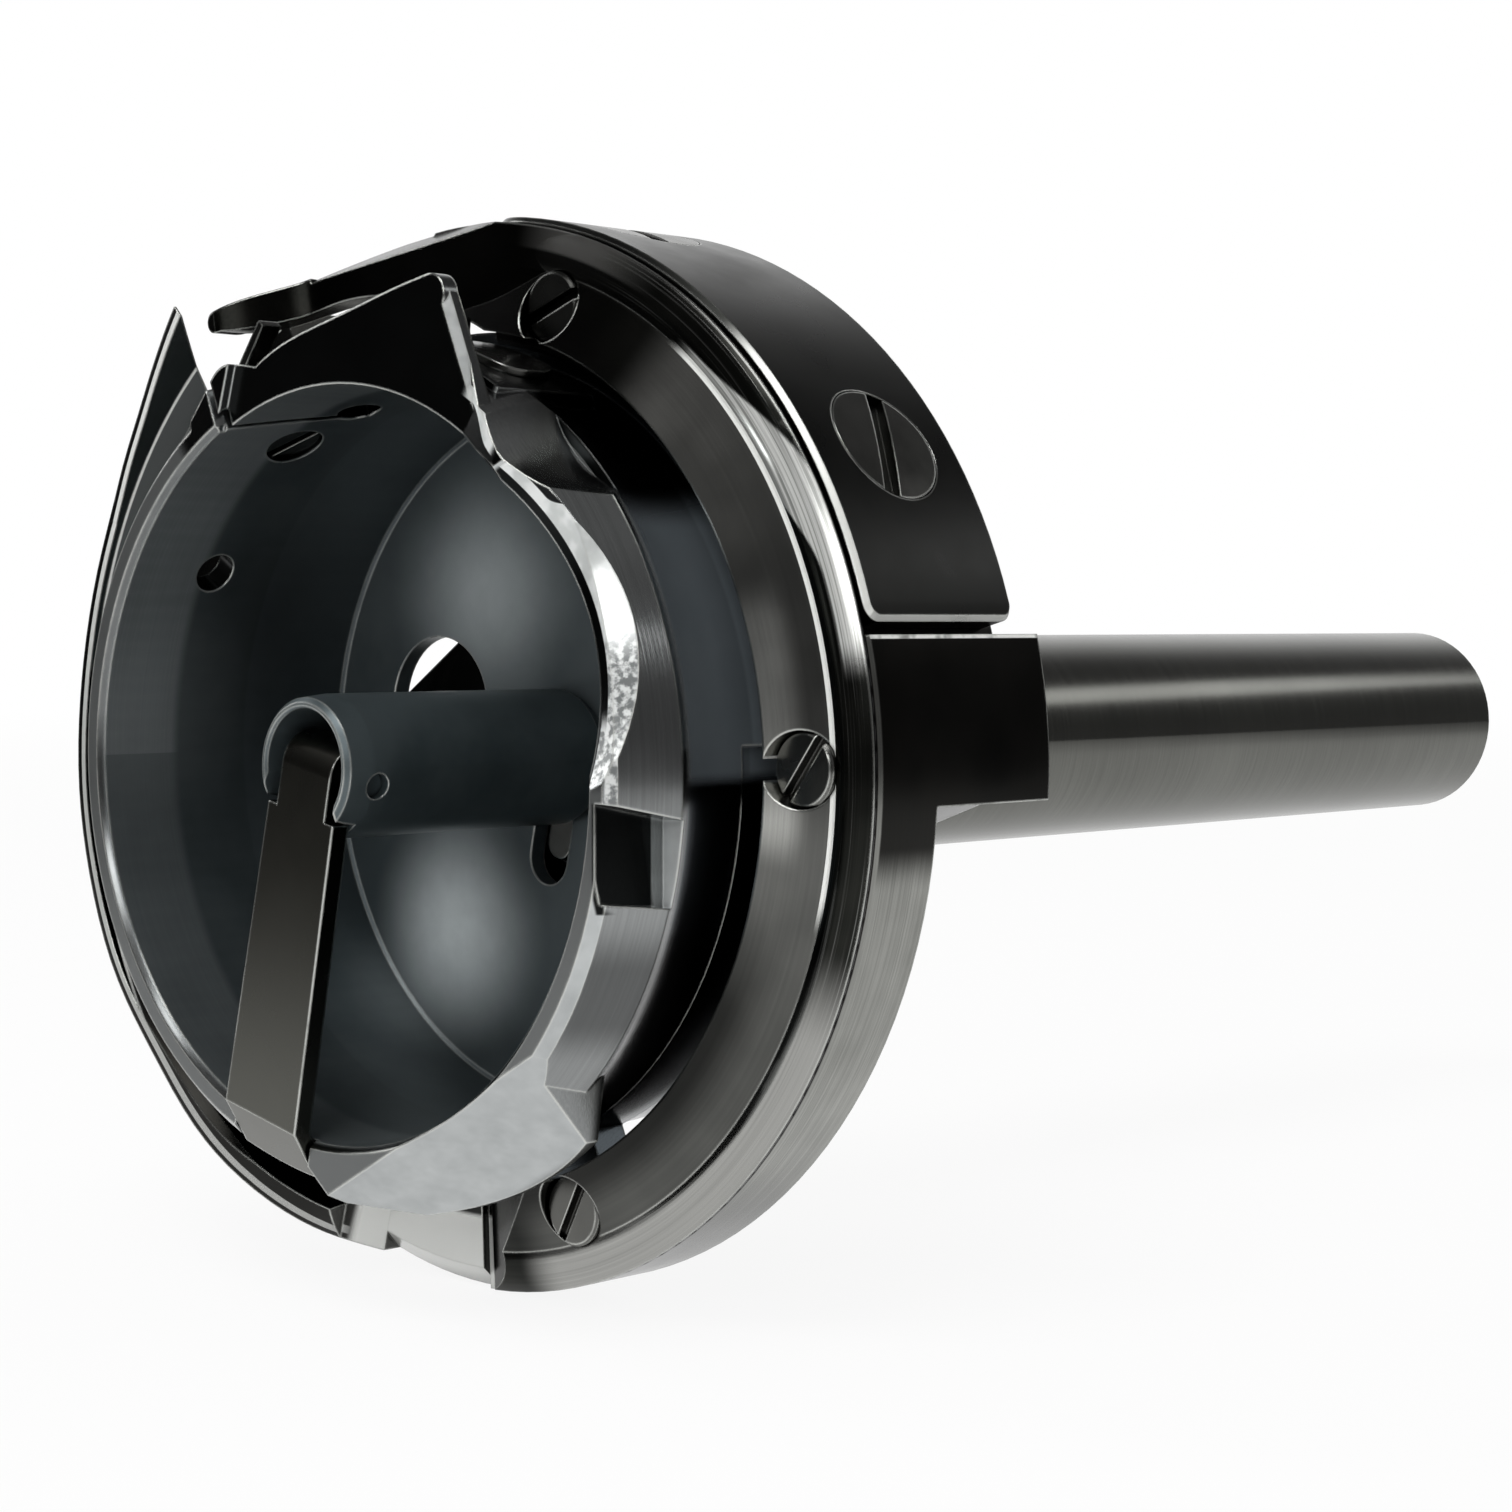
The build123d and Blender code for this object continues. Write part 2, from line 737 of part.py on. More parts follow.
# ---- ring screws: slotted, flat headed ----
with BuildPart() as ring_screw:
    with BuildSketch(Plane.XY):
        with BuildLine():
            Polyline(
                (ring_screw_r, face_y - ring_head_t),
                (ring_screw_r + ring_head_r - 0.12, face_y - ring_head_t),
                (ring_screw_r + ring_head_r - fit_gap, face_y - ring_head_t + 0.12),
                (ring_screw_r + ring_head_r - fit_gap, face_y - ring_seat),
                (ring_screw_r + ring_shank_r, face_y - ring_seat + 0.25),
                (ring_screw_r + ring_shank_r, face_y + ring_shank_len - 0.2),
                (ring_screw_r, face_y + ring_shank_len - 0.2),
                close=True,
            )
        make_face()
    revolve(axis=Axis((ring_screw_r, 0, 0), (0, 1, 0)))
with BuildPart() as ring_screws:
    for angle in ring_screw_angles:
        add(ring_screw.part.rotate(Axis.Y, -angle))
    for angle, turn in zip(ring_screw_angles, ring_slot_angles):
        with BuildSketch(front(face_y - ring_head_t + ring_slot_depth)):
            with Locations(polar(ring_screw_r, angle)):
                Rectangle(2 * ring_head_r + 0.2, screw_slot, rotation=turn)
        extrude(amount=1, mode=Mode.SUBTRACT)
ring_screws.part.label = "ring_screws"

# ---- guard plate over the outside of the rim ----
with BuildPart() as guard_plate:
    with BuildSketch(radial(plate_to)):
        with BuildLine():
            Polyline(
                (plate_seat, face_y + plate_front),
                (plate_r, face_y + plate_front),
                (plate_r, face_y + plate_rear),
                (plate_seat, face_y + plate_rear),
                close=True,
            )
        make_face()
    revolve(axis=Axis.Y, revolution_arc=plate_to - plate_from)
    plate_corners = guard_plate.edges().filter_by(GeomType.LINE).filter_by(Axis.Y, reverse=True)
    lead_corner = plate_corners.group_by(Axis.Y)[0].sort_by(Axis.X)[0]
    fillet([e for e in plate_corners if e != lead_corner], plate_corner)
    plate_corners = guard_plate.edges().filter_by(GeomType.LINE).filter_by(Axis.Y, reverse=True)
    fillet(plate_corners.group_by(Axis.Y)[0].sort_by(Axis.X)[0], plate_lead)
    chamfer(guard_plate.faces().filter_by(GeomType.CYLINDER).sort_by(SortBy.AREA)[-1].edges(), plate_bevel)
    for angle in guard_screw_angles:
        with BuildSketch(outward(angle, plate_seat - 1, face_y + guard_screw_y)):
            Circle(guard_shank_r + fit_gap)
        extrude(amount=plate_t + 2, mode=Mode.SUBTRACT)
        with BuildSketch(outward(angle, plate_r - guard_head_t, face_y + guard_screw_y)):
            Circle(guard_head_r + 5 * fit_gap)
        extrude(amount=guard_head_t + 1, mode=Mode.SUBTRACT)
guard_plate.part.label = "guard_plate"

# ---- guard screws: wide slotted heads, ground flush with the plate ----
with BuildPart() as guard_screws:
    for angle in guard_screw_angles:
        with BuildSketch(outward(angle, plate_r - guard_head_t - guard_shank_len, face_y + guard_screw_y)):
            Circle(guard_shank_r)
        extrude(amount=guard_shank_len + 0.1)
        with BuildSketch(outward(angle, plate_r - guard_head_t, face_y + guard_screw_y)):
            Circle(guard_head_r)
        extrude(amount=guard_head_t)
    with BuildSketch(front(face_y + plate_rear)):
        Circle(plate_r)
    extrude(amount=plate_rear, mode=Mode.INTERSECT)
    for angle in guard_screw_angles:
        with BuildSketch(outward(angle, plate_r - guard_slot_depth, face_y + guard_screw_y)):
            Rectangle(guard_slot, 3 * guard_head_r, rotation=guard_slot_turn)
        extrude(amount=1, mode=Mode.SUBTRACT)
guard_screws.part.label = "guard_screws"

# ---- bobbin case base: cup with bearing rib, horn, facet lug and notches ----
with BuildPart() as bobbin_case_base:
    with BuildSketch(Plane.XY):
        with BuildLine():
            Line((0, case_back), (back_r - back_round, case_back))
            RadiusArc((back_r - back_round, case_back), (back_r, case_back - back_round), back_round)
            Polyline(
                (back_r, case_back - back_round),
                (back_r, rib_front + rib_t + 0.4),
                (back_r + 0.4, rib_front + rib_t),
                (rib_r, rib_front + rib_t),
                (rib_r, rib_front),
                (back_r + 0.75, rib_front),
            )
            ThreePointArc(
                (back_r + 0.75, rib_front),
                (waist_r, face_y - waist_y),
                (edge_r, face_y - edge_y),
            )
            Polyline(
                (edge_r, face_y - edge_y),
                (front_r, case_rim + front_chamfer),
                (front_r - front_chamfer, case_rim),
                (0, case_rim),
                (0, case_back),
            )
        make_face()
    revolve(axis=Axis.Y)
    # bearing rib cut away low on the right
    with BuildSketch(radial(rib_cut_to)):
        with BuildLine():
            Polyline(
                (back_r + 0.35, face_y + race_len + 0.5),
                (back_r + 0.35, face_y - 1.0),
                (rib_r + 1, face_y - 1.0),
                (rib_r + 1, face_y + race_len + 0.5),
                close=True,
            )
        make_face()
    revolve(axis=Axis.Y, revolution_arc=rib_cut_to - rib_cut_from, mode=Mode.SUBTRACT)
    # bottom lug
    with BuildSketch(front(face_y - lug_rear)):
        with BuildLine():
            Polyline(
                polar(cavity_r + 0.3, lug_right + 11),
                polar(cavity_r + 1.1, lug_right + 8),
                polar(lug_reach, lug_right),
            )
            ThreePointArc(polar(lug_reach, lug_right), polar(lug_reach, lug_mid), polar(lug_reach, lug_left))
            Polyline(
                polar(lug_reach, lug_left),
                polar(lug_reach - 0.7, lug_left - 8),
                polar(cavity_r + 0.3, lug_left - 18),
                polar(cavity_r + 0.3, lug_mid),
                polar(cavity_r + 0.3, lug_right + 11),
            )
        make_face()
    extrude(amount=rim_y - lug_rear)
    # thicker end of the wall beside the thread slit
    with BuildSketch(front(case_rim + boss_t)):
        with BuildLine():
            Polyline(
                polar(cavity_r + 0.6, 122.5),
                polar(cavity_r + 1.25, 121.3),
                polar(boss_r - 0.15, 114.0),
            )
            ThreePointArc(polar(boss_r - 0.15, 114.0), polar(boss_r, 111.4), polar(boss_r - 0.2, 109.0))
            Polyline(
                polar(boss_r - 0.2, 109.0),
                polar(cavity_r + 1.5, 105.5),
                polar(cavity_r + 0.6, 104.0),
                polar(cavity_r + 0.6, 122.5),
            )
        make_face()
    extrude(amount=boss_t)
    # horn
    with BuildSketch(front(case_rim + horn_t)):
        with BuildLine():
            Spline(
                polar(cavity_r + 0.6, 119),
                polar(cavity_r + 1.0, 113),
                polar(cavity_r + 1.55, 107),
                polar(cavity_r + 2.65, 88),
                polar(cavity_r + horn_h - 0.75, 77),
                polar(cavity_r + horn_h, 72.5),
            )
            ThreePointArc(
                polar(cavity_r + horn_h, 72.5),
                polar(cavity_r + horn_h + 0.05, 70.6),
                polar(cavity_r + horn_h - 0.35, 69.2),
            )
            Spline(
                polar(cavity_r + horn_h - 0.35, 69.2),
                polar(cavity_r + 3.14, 65.2),
                polar(cavity_r + 1.86, 60.1),
                polar(cavity_r + 0.97, 54.8),
                polar(cavity_r + 0.8, 48),
            )
            Polyline(
                polar(cavity_r + 0.8, 48),
                polar(cavity_r - 2, 85),
                polar(cavity_r + 0.6, 119),
            )
        make_face()
    extrude(amount=horn_t)
    # horn and rim blend, scooped out of the wall
    with BuildSketch(front(case_rim + scoop_depth)):
        with Locations(polar(horn_scoop_at, horn_scoop_angle)):
            Circle(horn_scoop_r)
    extrude(amount=scoop_depth + 1, mode=Mode.SUBTRACT)
    # horn face set back behind the land
    with BuildSketch(front(face_y - horn_front)):
        with BuildLine():
            Polyline(
                polar(cavity_r - 7, 85),
                polar(cavity_r - 2, slit_front_angle + 2),
                polar(cavity_r, slit_front_angle - 0.2),
                polar(boss_r, 110.0),
                polar(cavity_r + 9, 104.0),
                polar(cavity_r + 15, 90),
                polar(cavity_r + 12, horn_to),
                polar(cavity_r - 2, horn_to),
                polar(cavity_r - 7, 85),
            )
        make_face()
    extrude(amount=2, mode=Mode.SUBTRACT)
    # ramp from the horn face up to the land
    ramp_mid = (horn_to + ramp_to) / 2
    with BuildSketch(outward(ramp_mid, cavity_r - 2, face_y)):
        with BuildLine():
            Polyline(
                (across(cavity_r, horn_to, ramp_mid), -horn_front),
                (across(cavity_r, ramp_to, ramp_mid), -rim_y),
                (across(cavity_r, ramp_to, ramp_mid), -rim_y - 1),
                (across(cavity_r, horn_to + 6, ramp_mid), -rim_y - 1),
                (across(cavity_r, horn_to + 6, ramp_mid), -horn_front),
                close=True,
            )
        make_face()
    extrude(amount=8, mode=Mode.SUBTRACT)
    # bevel along the right flank of the horn
    horn_face = bobbin_case_base.faces().filter_by_position(
        Axis.Y, face_y - horn_front - 0.01, face_y - horn_front + 0.01
    )
    horn_curves = horn_face.sort_by(Axis.Z)[-1].edges().filter_by(GeomType.BSPLINE)
    flank = horn_curves.sort_by(Edge.length)[-2]
    chamfer(flank, flank_bevel)
    # pad for the tension spring
    with BuildSketch(radial(pad_to)):
        with BuildLine():
            Polyline(
                (back_r - 0.2, face_y - pad_front),
                (pad_r, face_y - pad_front),
                (pad_r, face_y - pad_rear),
                (back_r - 0.2, face_y - pad_rear + 0.8),
                close=True,
            )
        make_face()
    revolve(axis=Axis.Y, revolution_arc=pad_to - pad_from)
    # cavity
    with BuildSketch(Plane.XY):
        with BuildLine():
            Polyline(
                (0, case_floor),
                (cavity_r - floor_bevel, case_floor),
                (cavity_r, case_floor - floor_bevel),
                (cavity_r, case_rim + mouth_bevel),
                (cavity_r + mouth_bevel, case_rim),
                (cavity_r + mouth_bevel + 0.5, case_rim - 0.5),
                (0, case_rim - 0.5),
                close=True,
            )
        make_face()
    revolve(axis=Axis.Y, mode=Mode.SUBTRACT)
    # polished facet at the bottom
    facet_plane = outward(facet_angle, facet_at, case_rim)
    facet_side = Plane(origin=facet_plane.origin, x_dir=facet_plane.z_dir, z_dir=-facet_plane.x_dir)
    with BuildSketch(facet_side):
        with BuildLine():
            Polyline(
                (0, 0),
                (8, 8 * tan(radians(facet_slope))),
                (8, -3),
                (-1, -3),
                (-1, 0),
                (0, 0),
            )
        make_face()
    extrude(amount=20, both=True, mode=Mode.SUBTRACT)
    # dip in the mouth on the right, cut by two round rollers
    for at_r, at, lean, roller_r in (
        (cavity_r, radians(dip_angle), 0.0, dip_r),
        (cavity_r + dip_strip, radians(slope_angle), radians(slope_lean), slope_r),
    ):
        low = Vector(at_r * cos(at), face_y - dip_y, at_r * sin(at))
        along = Vector(cos(lean) * cos(at), sin(lean), cos(lean) * sin(at))
        ahead = Vector(sin(lean) * cos(at), -cos(lean), sin(lean) * sin(at))
        with BuildSketch(Plane(origin=low + ahead * roller_r, z_dir=along)):
            Circle(roller_r)
        extrude(amount=6, both=True, mode=Mode.SUBTRACT)
    # notch for the machine's positioning finger
    with BuildSketch(Plane.YZ.offset(notch_floor)) as notch_sketch:
        with BuildLine():
            Polyline(
                (case_rim - 2, notch_high),
                (case_rim, notch_high),
                (face_y - notch_back, notch_high - notch_fall),
                (face_y - notch_back, notch_low - notch_fall_low),
                (case_rim, notch_low),
                (case_rim - 2, notch_low),
                close=True,
            )
        make_face()
        fillet(notch_sketch.vertices().group_by(Axis.Y)[-1], notch_fillet)
    extrude(amount=6, mode=Mode.SUBTRACT)
    # notch for the latch foot
    with BuildSketch(radial(latch_angle)):
        with BuildLine():
            Polyline(
                (latch_bend - 1, latch_rear_y + latch_gap),
                (latch_bend, latch_rear_y + latch_gap),
                (latch_reach + 3, latch_rear_y + latch_gap + latch_drop_rate * (latch_reach + 3 - latch_bend)),
                (latch_reach + 3, case_rim - 2),
                (latch_bend - 1, case_rim - 2),
                close=True,
            )
        make_face()
    extrude(amount=latch_foot_w / 2 + latch_gap, both=True, mode=Mode.SUBTRACT)
    # floor: seat of the post, round hole and slot for the latch spring
    with BuildSketch(front(case_back + 0.5)):
        Circle(post_seat_r + fit_gap)
        with Locations((floor_hole_x, floor_hole_z)):
            Circle(floor_hole_r)
        with Locations(plan(slot_end_r / 2, 0)):
            SlotOverall(slot_end_r, slot_w, rotation=latch_angle)
    extrude(amount=floor_t + 1, mode=Mode.SUBTRACT)
    # wall: round hole, thread slit, thread eye, screw bores
    with BuildSketch(outward(wall_hole_angle, cavity_r - 1, face_y - wall_hole_y)):
        Circle(wall_hole_r)
    extrude(amount=4, mode=Mode.SUBTRACT)
    with BuildSketch(outward(eye_angle, cavity_r - 1, face_y - eye_y)):
        Circle(eye_r)
    extrude(amount=4, mode=Mode.SUBTRACT)
    slit_mid = (slit_front_angle + slit_back_angle) / 2
    with BuildSketch(outward(slit_mid, cavity_r - 1, face_y)):
        with BuildLine():
            Polyline(
                (across(cavity_r, slit_front_angle, slit_mid) - slit_w / 2, -rim_y - 1),
                (across(cavity_r, slit_front_angle, slit_mid) + slit_w / 2, -rim_y - 1),
                (across(cavity_r, slit_back_angle, slit_mid) + slit_w / 2, -slit_back_y),
                (across(cavity_r, slit_back_angle, slit_mid) - slit_w / 2, -slit_back_y),
                close=True,
            )
        make_face()
    extrude(amount=4, mode=Mode.SUBTRACT)
    with BuildSketch(outward(fixing_angle, cavity_r - 1, face_y - leaf_y)):
        Circle(fixing_r + fit_gap)
    extrude(amount=4, mode=Mode.SUBTRACT)
    with BuildSketch(outward(adjust_angle, pad_r - adjust_depth - 0.1, face_y - leaf_y)):
        Circle(adjust_r + fit_gap)
    extrude(amount=4, mode=Mode.SUBTRACT)
bobbin_case_base.part.label = "bobbin_case_base"

# ---- centre post: tube with a hollow tip for the latch ----
with BuildPart() as centre_post:
    with BuildSketch(Plane.XY):
        with BuildLine():
            Polyline(
                (post_bore, case_back),
                (post_seat_r, case_back),
                (post_seat_r, post_foot_y),
                (post_r, post_foot_y),
                (post_r, post_lead_y),
                (post_r - post_taper, post_tip_y + post_round),
                (post_r - post_taper - post_round, post_tip_y),
                (post_bore + 0.1, post_tip_y),
                (post_bore, post_tip_y + 0.1),
                close=True,
            )
        make_face()
    revolve(axis=Axis.Y)
    # seat of the closed latch
    with BuildSketch(radial(latch_angle)):
        with Locations((post_r, post_tip_y)):
            Rectangle(2 * post_r, 2 * (latch_rear_y + latch_gap - post_tip_y))
    extrude(amount=latch_w / 2 + latch_gap, both=True, mode=Mode.SUBTRACT)
    # cross bore for the hinge pin
    with BuildSketch(radial(latch_angle)):
        with Locations((hinge_off, hinge_y)):
            Circle(hinge_pin_r + fit_gap)
    extrude(amount=post_r + 1, both=True, mode=Mode.SUBTRACT)
    # foot slot where the latch spring comes out
    with BuildSketch(radial(latch_angle)):
        with Locations((post_r, case_back)):
            Rectangle(2 * post_r, 2 * (floor_t + 0.3))
    extrude(amount=slot_w / 2, both=True, mode=Mode.SUBTRACT)
centre_post.part.label = "centre_post"

# ---- flip latch ----
with BuildPart() as latch_bar:
    with BuildSketch(radial(latch_angle)):
        with BuildLine():
            Polyline(
                (hinge_off, latch_front_y),
                (latch_bend, latch_front_y),
                (latch_reach + 0.3, latch_front_y + latch_bend_drop * foot_share),
                (latch_reach + 0.3, latch_rear_y + latch_bend_drop * foot_share),
                (latch_bend, latch_rear_y),
                (hinge_off, latch_rear_y),
                close=True,
            )
        make_face()
    extrude(amount=latch_foot_w, both=True)
    with BuildSketch(front(face_y)):
        with BuildLine():
            Polyline(
                plan(0, latch_root_w / 2),
                plan(latch_root, latch_root_w / 2),
                plan(latch_root, latch_w / 2),
                plan(latch_bend, latch_foot_w / 2),
                plan(latch_end, latch_foot_w / 2),
            )
            ThreePointArc(
                plan(latch_end, latch_foot_w / 2),
                plan(latch_reach, 0),
                plan(latch_end, -latch_foot_w / 2),
            )
            Polyline(
                plan(latch_end, -latch_foot_w / 2),
                plan(latch_bend, -latch_foot_w / 2),
                plan(latch_root, -latch_w / 2),
                plan(latch_root, -latch_root_w / 2),
                plan(0, -latch_root_w / 2),
                plan(0, latch_root_w / 2),
            )
        make_face()
    extrude(amount=post_tip + 1, mode=Mode.INTERSECT)
    with BuildSketch(radial(latch_angle)):
        with Locations((hinge_off, hinge_y)):
            Circle(latch_hub_r)
    extrude(amount=latch_hub_w / 2, both=True)
    with BuildSketch(radial(latch_angle)):
        with Locations((hinge_off, hinge_y)):
            Circle(hinge_pin_r + pin_gap)
    extrude(amount=latch_hub_w, both=True, mode=Mode.SUBTRACT)
latch_bar.part.label = "latch_bar"

# ---- hinge pin, its ends just inside the post's wall ----
with BuildPart() as latch_pin:
    with BuildSketch(radial(latch_angle)):
        with Locations((hinge_off, hinge_y)):
            Circle(hinge_pin_r)
    extrude(amount=post_r - pin_inset, both=True)
latch_pin.part.label = "latch_pin"

# ---- latch spring: bent leaf inside the post, its foot out through the floor slot ----
leg_out = post_bore - spring_wall
leg_in = leg_out - spring_t
spring_top = hinge_y + latch_hub_r + 0.08
with BuildPart() as latch_spring:
    with BuildSketch(radial(latch_angle)):
        with BuildLine():
            Polyline(
                (spring_reach, case_back),
                (spring_reach, case_back - spring_t),
                (leg_out, case_back - spring_t),
                (leg_out, spring_top + 1.0),
                (leg_out - 1.0, spring_top),
                (-0.9, spring_top),
                (-0.9, spring_top + spring_t),
                (leg_out - 1.0 - 0.12, spring_top + spring_t),
                (leg_in, spring_top + 1.0 + 0.12),
                (leg_in, case_back),
                close=True,
            )
        make_face()
    extrude(amount=spring_w / 2, both=True)
    fillet(
        latch_spring.edges().filter_by(Axis.Y).sort_by(lambda e: e.center().dot(latch_dir))[-2:],
        spring_w / 2 - 0.05,
    )
latch_spring.part.label = "latch_spring"

# ---- thread tension spring: curved leaf on its pad ----
with BuildPart() as tension_spring:
    with BuildSketch(radial(leaf_to)):
        with Locations((pad_r + fit_gap + leaf_t / 2, face_y - leaf_y)):
            Rectangle(leaf_t, leaf_w)
    revolve(axis=Axis.Y, revolution_arc=leaf_to - leaf_from)
    fillet(tension_spring.edges().filter_by(GeomType.LINE).filter_by(Axis.Y, reverse=True), leaf_w / 2 - 0.3)
    # tail turned up beside the throat, to hold the thread
    with BuildSketch(radial(leaf_to)):
        with Locations((pad_r + fit_gap + leaf_t / 2, face_y - (tail_front + leaf_y + 0.6) / 2)):
            Rectangle(leaf_t, tail_front - leaf_y - 0.6)
    revolve(axis=Axis.Y, revolution_arc=3)
    with BuildSketch(front(face_y - tail_rear)):
        with BuildLine():
            Polyline(
                polar(pad_r + fit_gap, leaf_to - 3.2),
                polar(pad_r + fit_gap + leaf_t, leaf_to - 1.5),
                polar(pad_r + tail_h + leaf_t, tail_from),
                polar(pad_r + tail_h, tail_from - 0.6),
                close=True,
            )
        make_face()
    extrude(amount=tail_front - tail_rear)
    for angle, radius in ((fixing_angle, fixing_r), (adjust_angle, adjust_r)):
        with BuildSketch(outward(angle, cavity_r, face_y - leaf_y)):
            Circle(radius + 3 * fit_gap)
        extrude(amount=pad_r + leaf_t + 0.05 - cavity_r, mode=Mode.SUBTRACT)
tension_spring.part.label = "tension_spring"

# ---- tension fixing screw, its slotted end showing in the cavity ----
with BuildPart() as fixing_screw:
    with BuildSketch(outward(fixing_angle, cavity_r + 0.15, face_y - leaf_y)):
        Circle(fixing_r)
    extrude(amount=pad_r + leaf_t - cavity_r)
    with BuildSketch(outward(fixing_angle, pad_r + leaf_t + 0.06, face_y - leaf_y)):
        Circle(fixing_r + 0.4)
    extrude(amount=fixing_head_t)
    with BuildSketch(outward(fixing_angle, cavity_r - 0.5, face_y - leaf_y)):
        Rectangle(screw_slot, 3 * fixing_r, rotation=-60)
    extrude(amount=0.5 + 0.15 + 0.35, mode=Mode.SUBTRACT)
fixing_screw.part.label = "fixing_screw"

# ---- tension adjusting screw ----
with BuildPart() as adjusting_screw:
    with BuildSketch(outward(adjust_angle, pad_r - adjust_depth, face_y - leaf_y)):
        Circle(adjust_r)
    extrude(amount=adjust_depth + leaf_t + 0.1)
    with BuildSketch(outward(adjust_angle, pad_r + leaf_t + 0.06, face_y - leaf_y)):
        Circle(adjust_head_r)
    extrude(amount=adjust_head_t)
    with BuildSketch(outward(adjust_angle, pad_r + leaf_t + 0.06 + adjust_head_t / 2, face_y - leaf_y)):
        Rectangle(screw_slot, 3 * adjust_head_r, rotation=30)
    extrude(amount=adjust_head_t, mode=Mode.SUBTRACT)
adjusting_screw.part.label = "adjusting_screw"

# ---- one file for each piece ----
os.makedirs("parts", exist_ok=True)
export_step(hook_shaft.part, "parts/hook_shaft.step")
export_step(hook_body.part, "parts/hook_body.step")
export_step(retaining_ring.part, "parts/retaining_ring.step")
export_step(ring_screws.part, "parts/ring_screws.step")
export_step(guard_plate.part, "parts/guard_plate.step")
export_step(guard_screws.part, "parts/guard_screws.step")
export_step(bobbin_case_base.part, "parts/bobbin_case_base.step")
export_step(centre_post.part, "parts/centre_post.step")
export_step(latch_bar.part, "parts/latch_bar.step")
export_step(latch_pin.part, "parts/latch_pin.step")
export_step(latch_spring.part, "parts/latch_spring.step")
export_step(tension_spring.part, "parts/tension_spring.step")
export_step(fixing_screw.part, "parts/fixing_screw.step")
export_step(adjusting_screw.part, "parts/adjusting_screw.step")
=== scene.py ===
from math import cos, radians, sin

import bpy
from mathutils import Matrix, Vector

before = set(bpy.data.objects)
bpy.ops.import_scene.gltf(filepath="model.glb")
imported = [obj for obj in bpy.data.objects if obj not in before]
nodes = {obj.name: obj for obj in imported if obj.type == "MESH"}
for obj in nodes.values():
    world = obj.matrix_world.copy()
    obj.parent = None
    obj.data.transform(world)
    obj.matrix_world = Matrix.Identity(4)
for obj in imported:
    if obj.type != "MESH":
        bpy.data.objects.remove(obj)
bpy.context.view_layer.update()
MM = 0.001


def heading(azimuth, elevation):
    """Direction that is turned from +Y towards -X by azimuth, and down by elevation."""
    return Vector(
        (-sin(azimuth) * cos(elevation), cos(azimuth) * cos(elevation), -sin(elevation))
    )


# ---------------------------------------------------------------- camera
CAMERA_AT = (0.094576, -0.099632, 0.005650)    # metres
CAMERA_AZIMUTH = radians(43.307)
CAMERA_ELEVATION = radians(2.503)
SENSOR_WIDTH = 36.0                            # millimetres, as the focal length
FOCAL_LENGTH = 73.11
CLIP_START, CLIP_END = 0.005, 20.0

camera_data = bpy.data.cameras.new("camera")
camera_data.sensor_width = SENSOR_WIDTH
camera_data.lens = FOCAL_LENGTH
camera_data.clip_start = CLIP_START
camera_data.clip_end = CLIP_END
camera = bpy.data.objects.new("camera", camera_data)
bpy.context.scene.collection.objects.link(camera)
forward = heading(CAMERA_AZIMUTH, CAMERA_ELEVATION)
right = Vector((cos(CAMERA_AZIMUTH), sin(CAMERA_AZIMUTH), 0.0))
up = right.cross(forward)
turn = Matrix((right, up, -forward)).transposed().to_4x4()
camera.matrix_world = Matrix.Translation(CAMERA_AT) @ turn
bpy.context.scene.camera = camera
bpy.context.scene.view_settings.view_transform = "Standard"

# ---------------------------------------------------------------- node helpers
NOISE_LOW, NOISE_HIGH = 0.3, 0.7       # nearly all of a noise lies between these
EDGE_FLAT, EDGE_SHARP = 0.998, 0.94    # cosine between the true and the rounded normal
CREVICE_REACH = 1.0                    # how far painted shade reaches into a gap or corner, millimetres
CREVICE_PAINTED_SHADE = (0.05, 0.7)            # openness over which painted shade darkens the tone
OPEN_FOR_WEAR_AND_HIGHLIGHT = (0.55, 0.9)             # openness over which an edge starts to show wear and a painted highlight
# tone of worn edges, which also stands for their painted highlight
WEAR_AND_HIGHLIGHT_TONE = (0.62, 0.63, 0.60)
WORN_ROUGHNESS = 0.22
WEAR_AND_HIGHLIGHT_PATCHES = (0.30, 0.55, 0.5, 1.0)  # from, to, and the share of wear and painted highlight at each
PATCH_SCALE = 500.0
BUMP_DISTANCE = 0.03 * MM


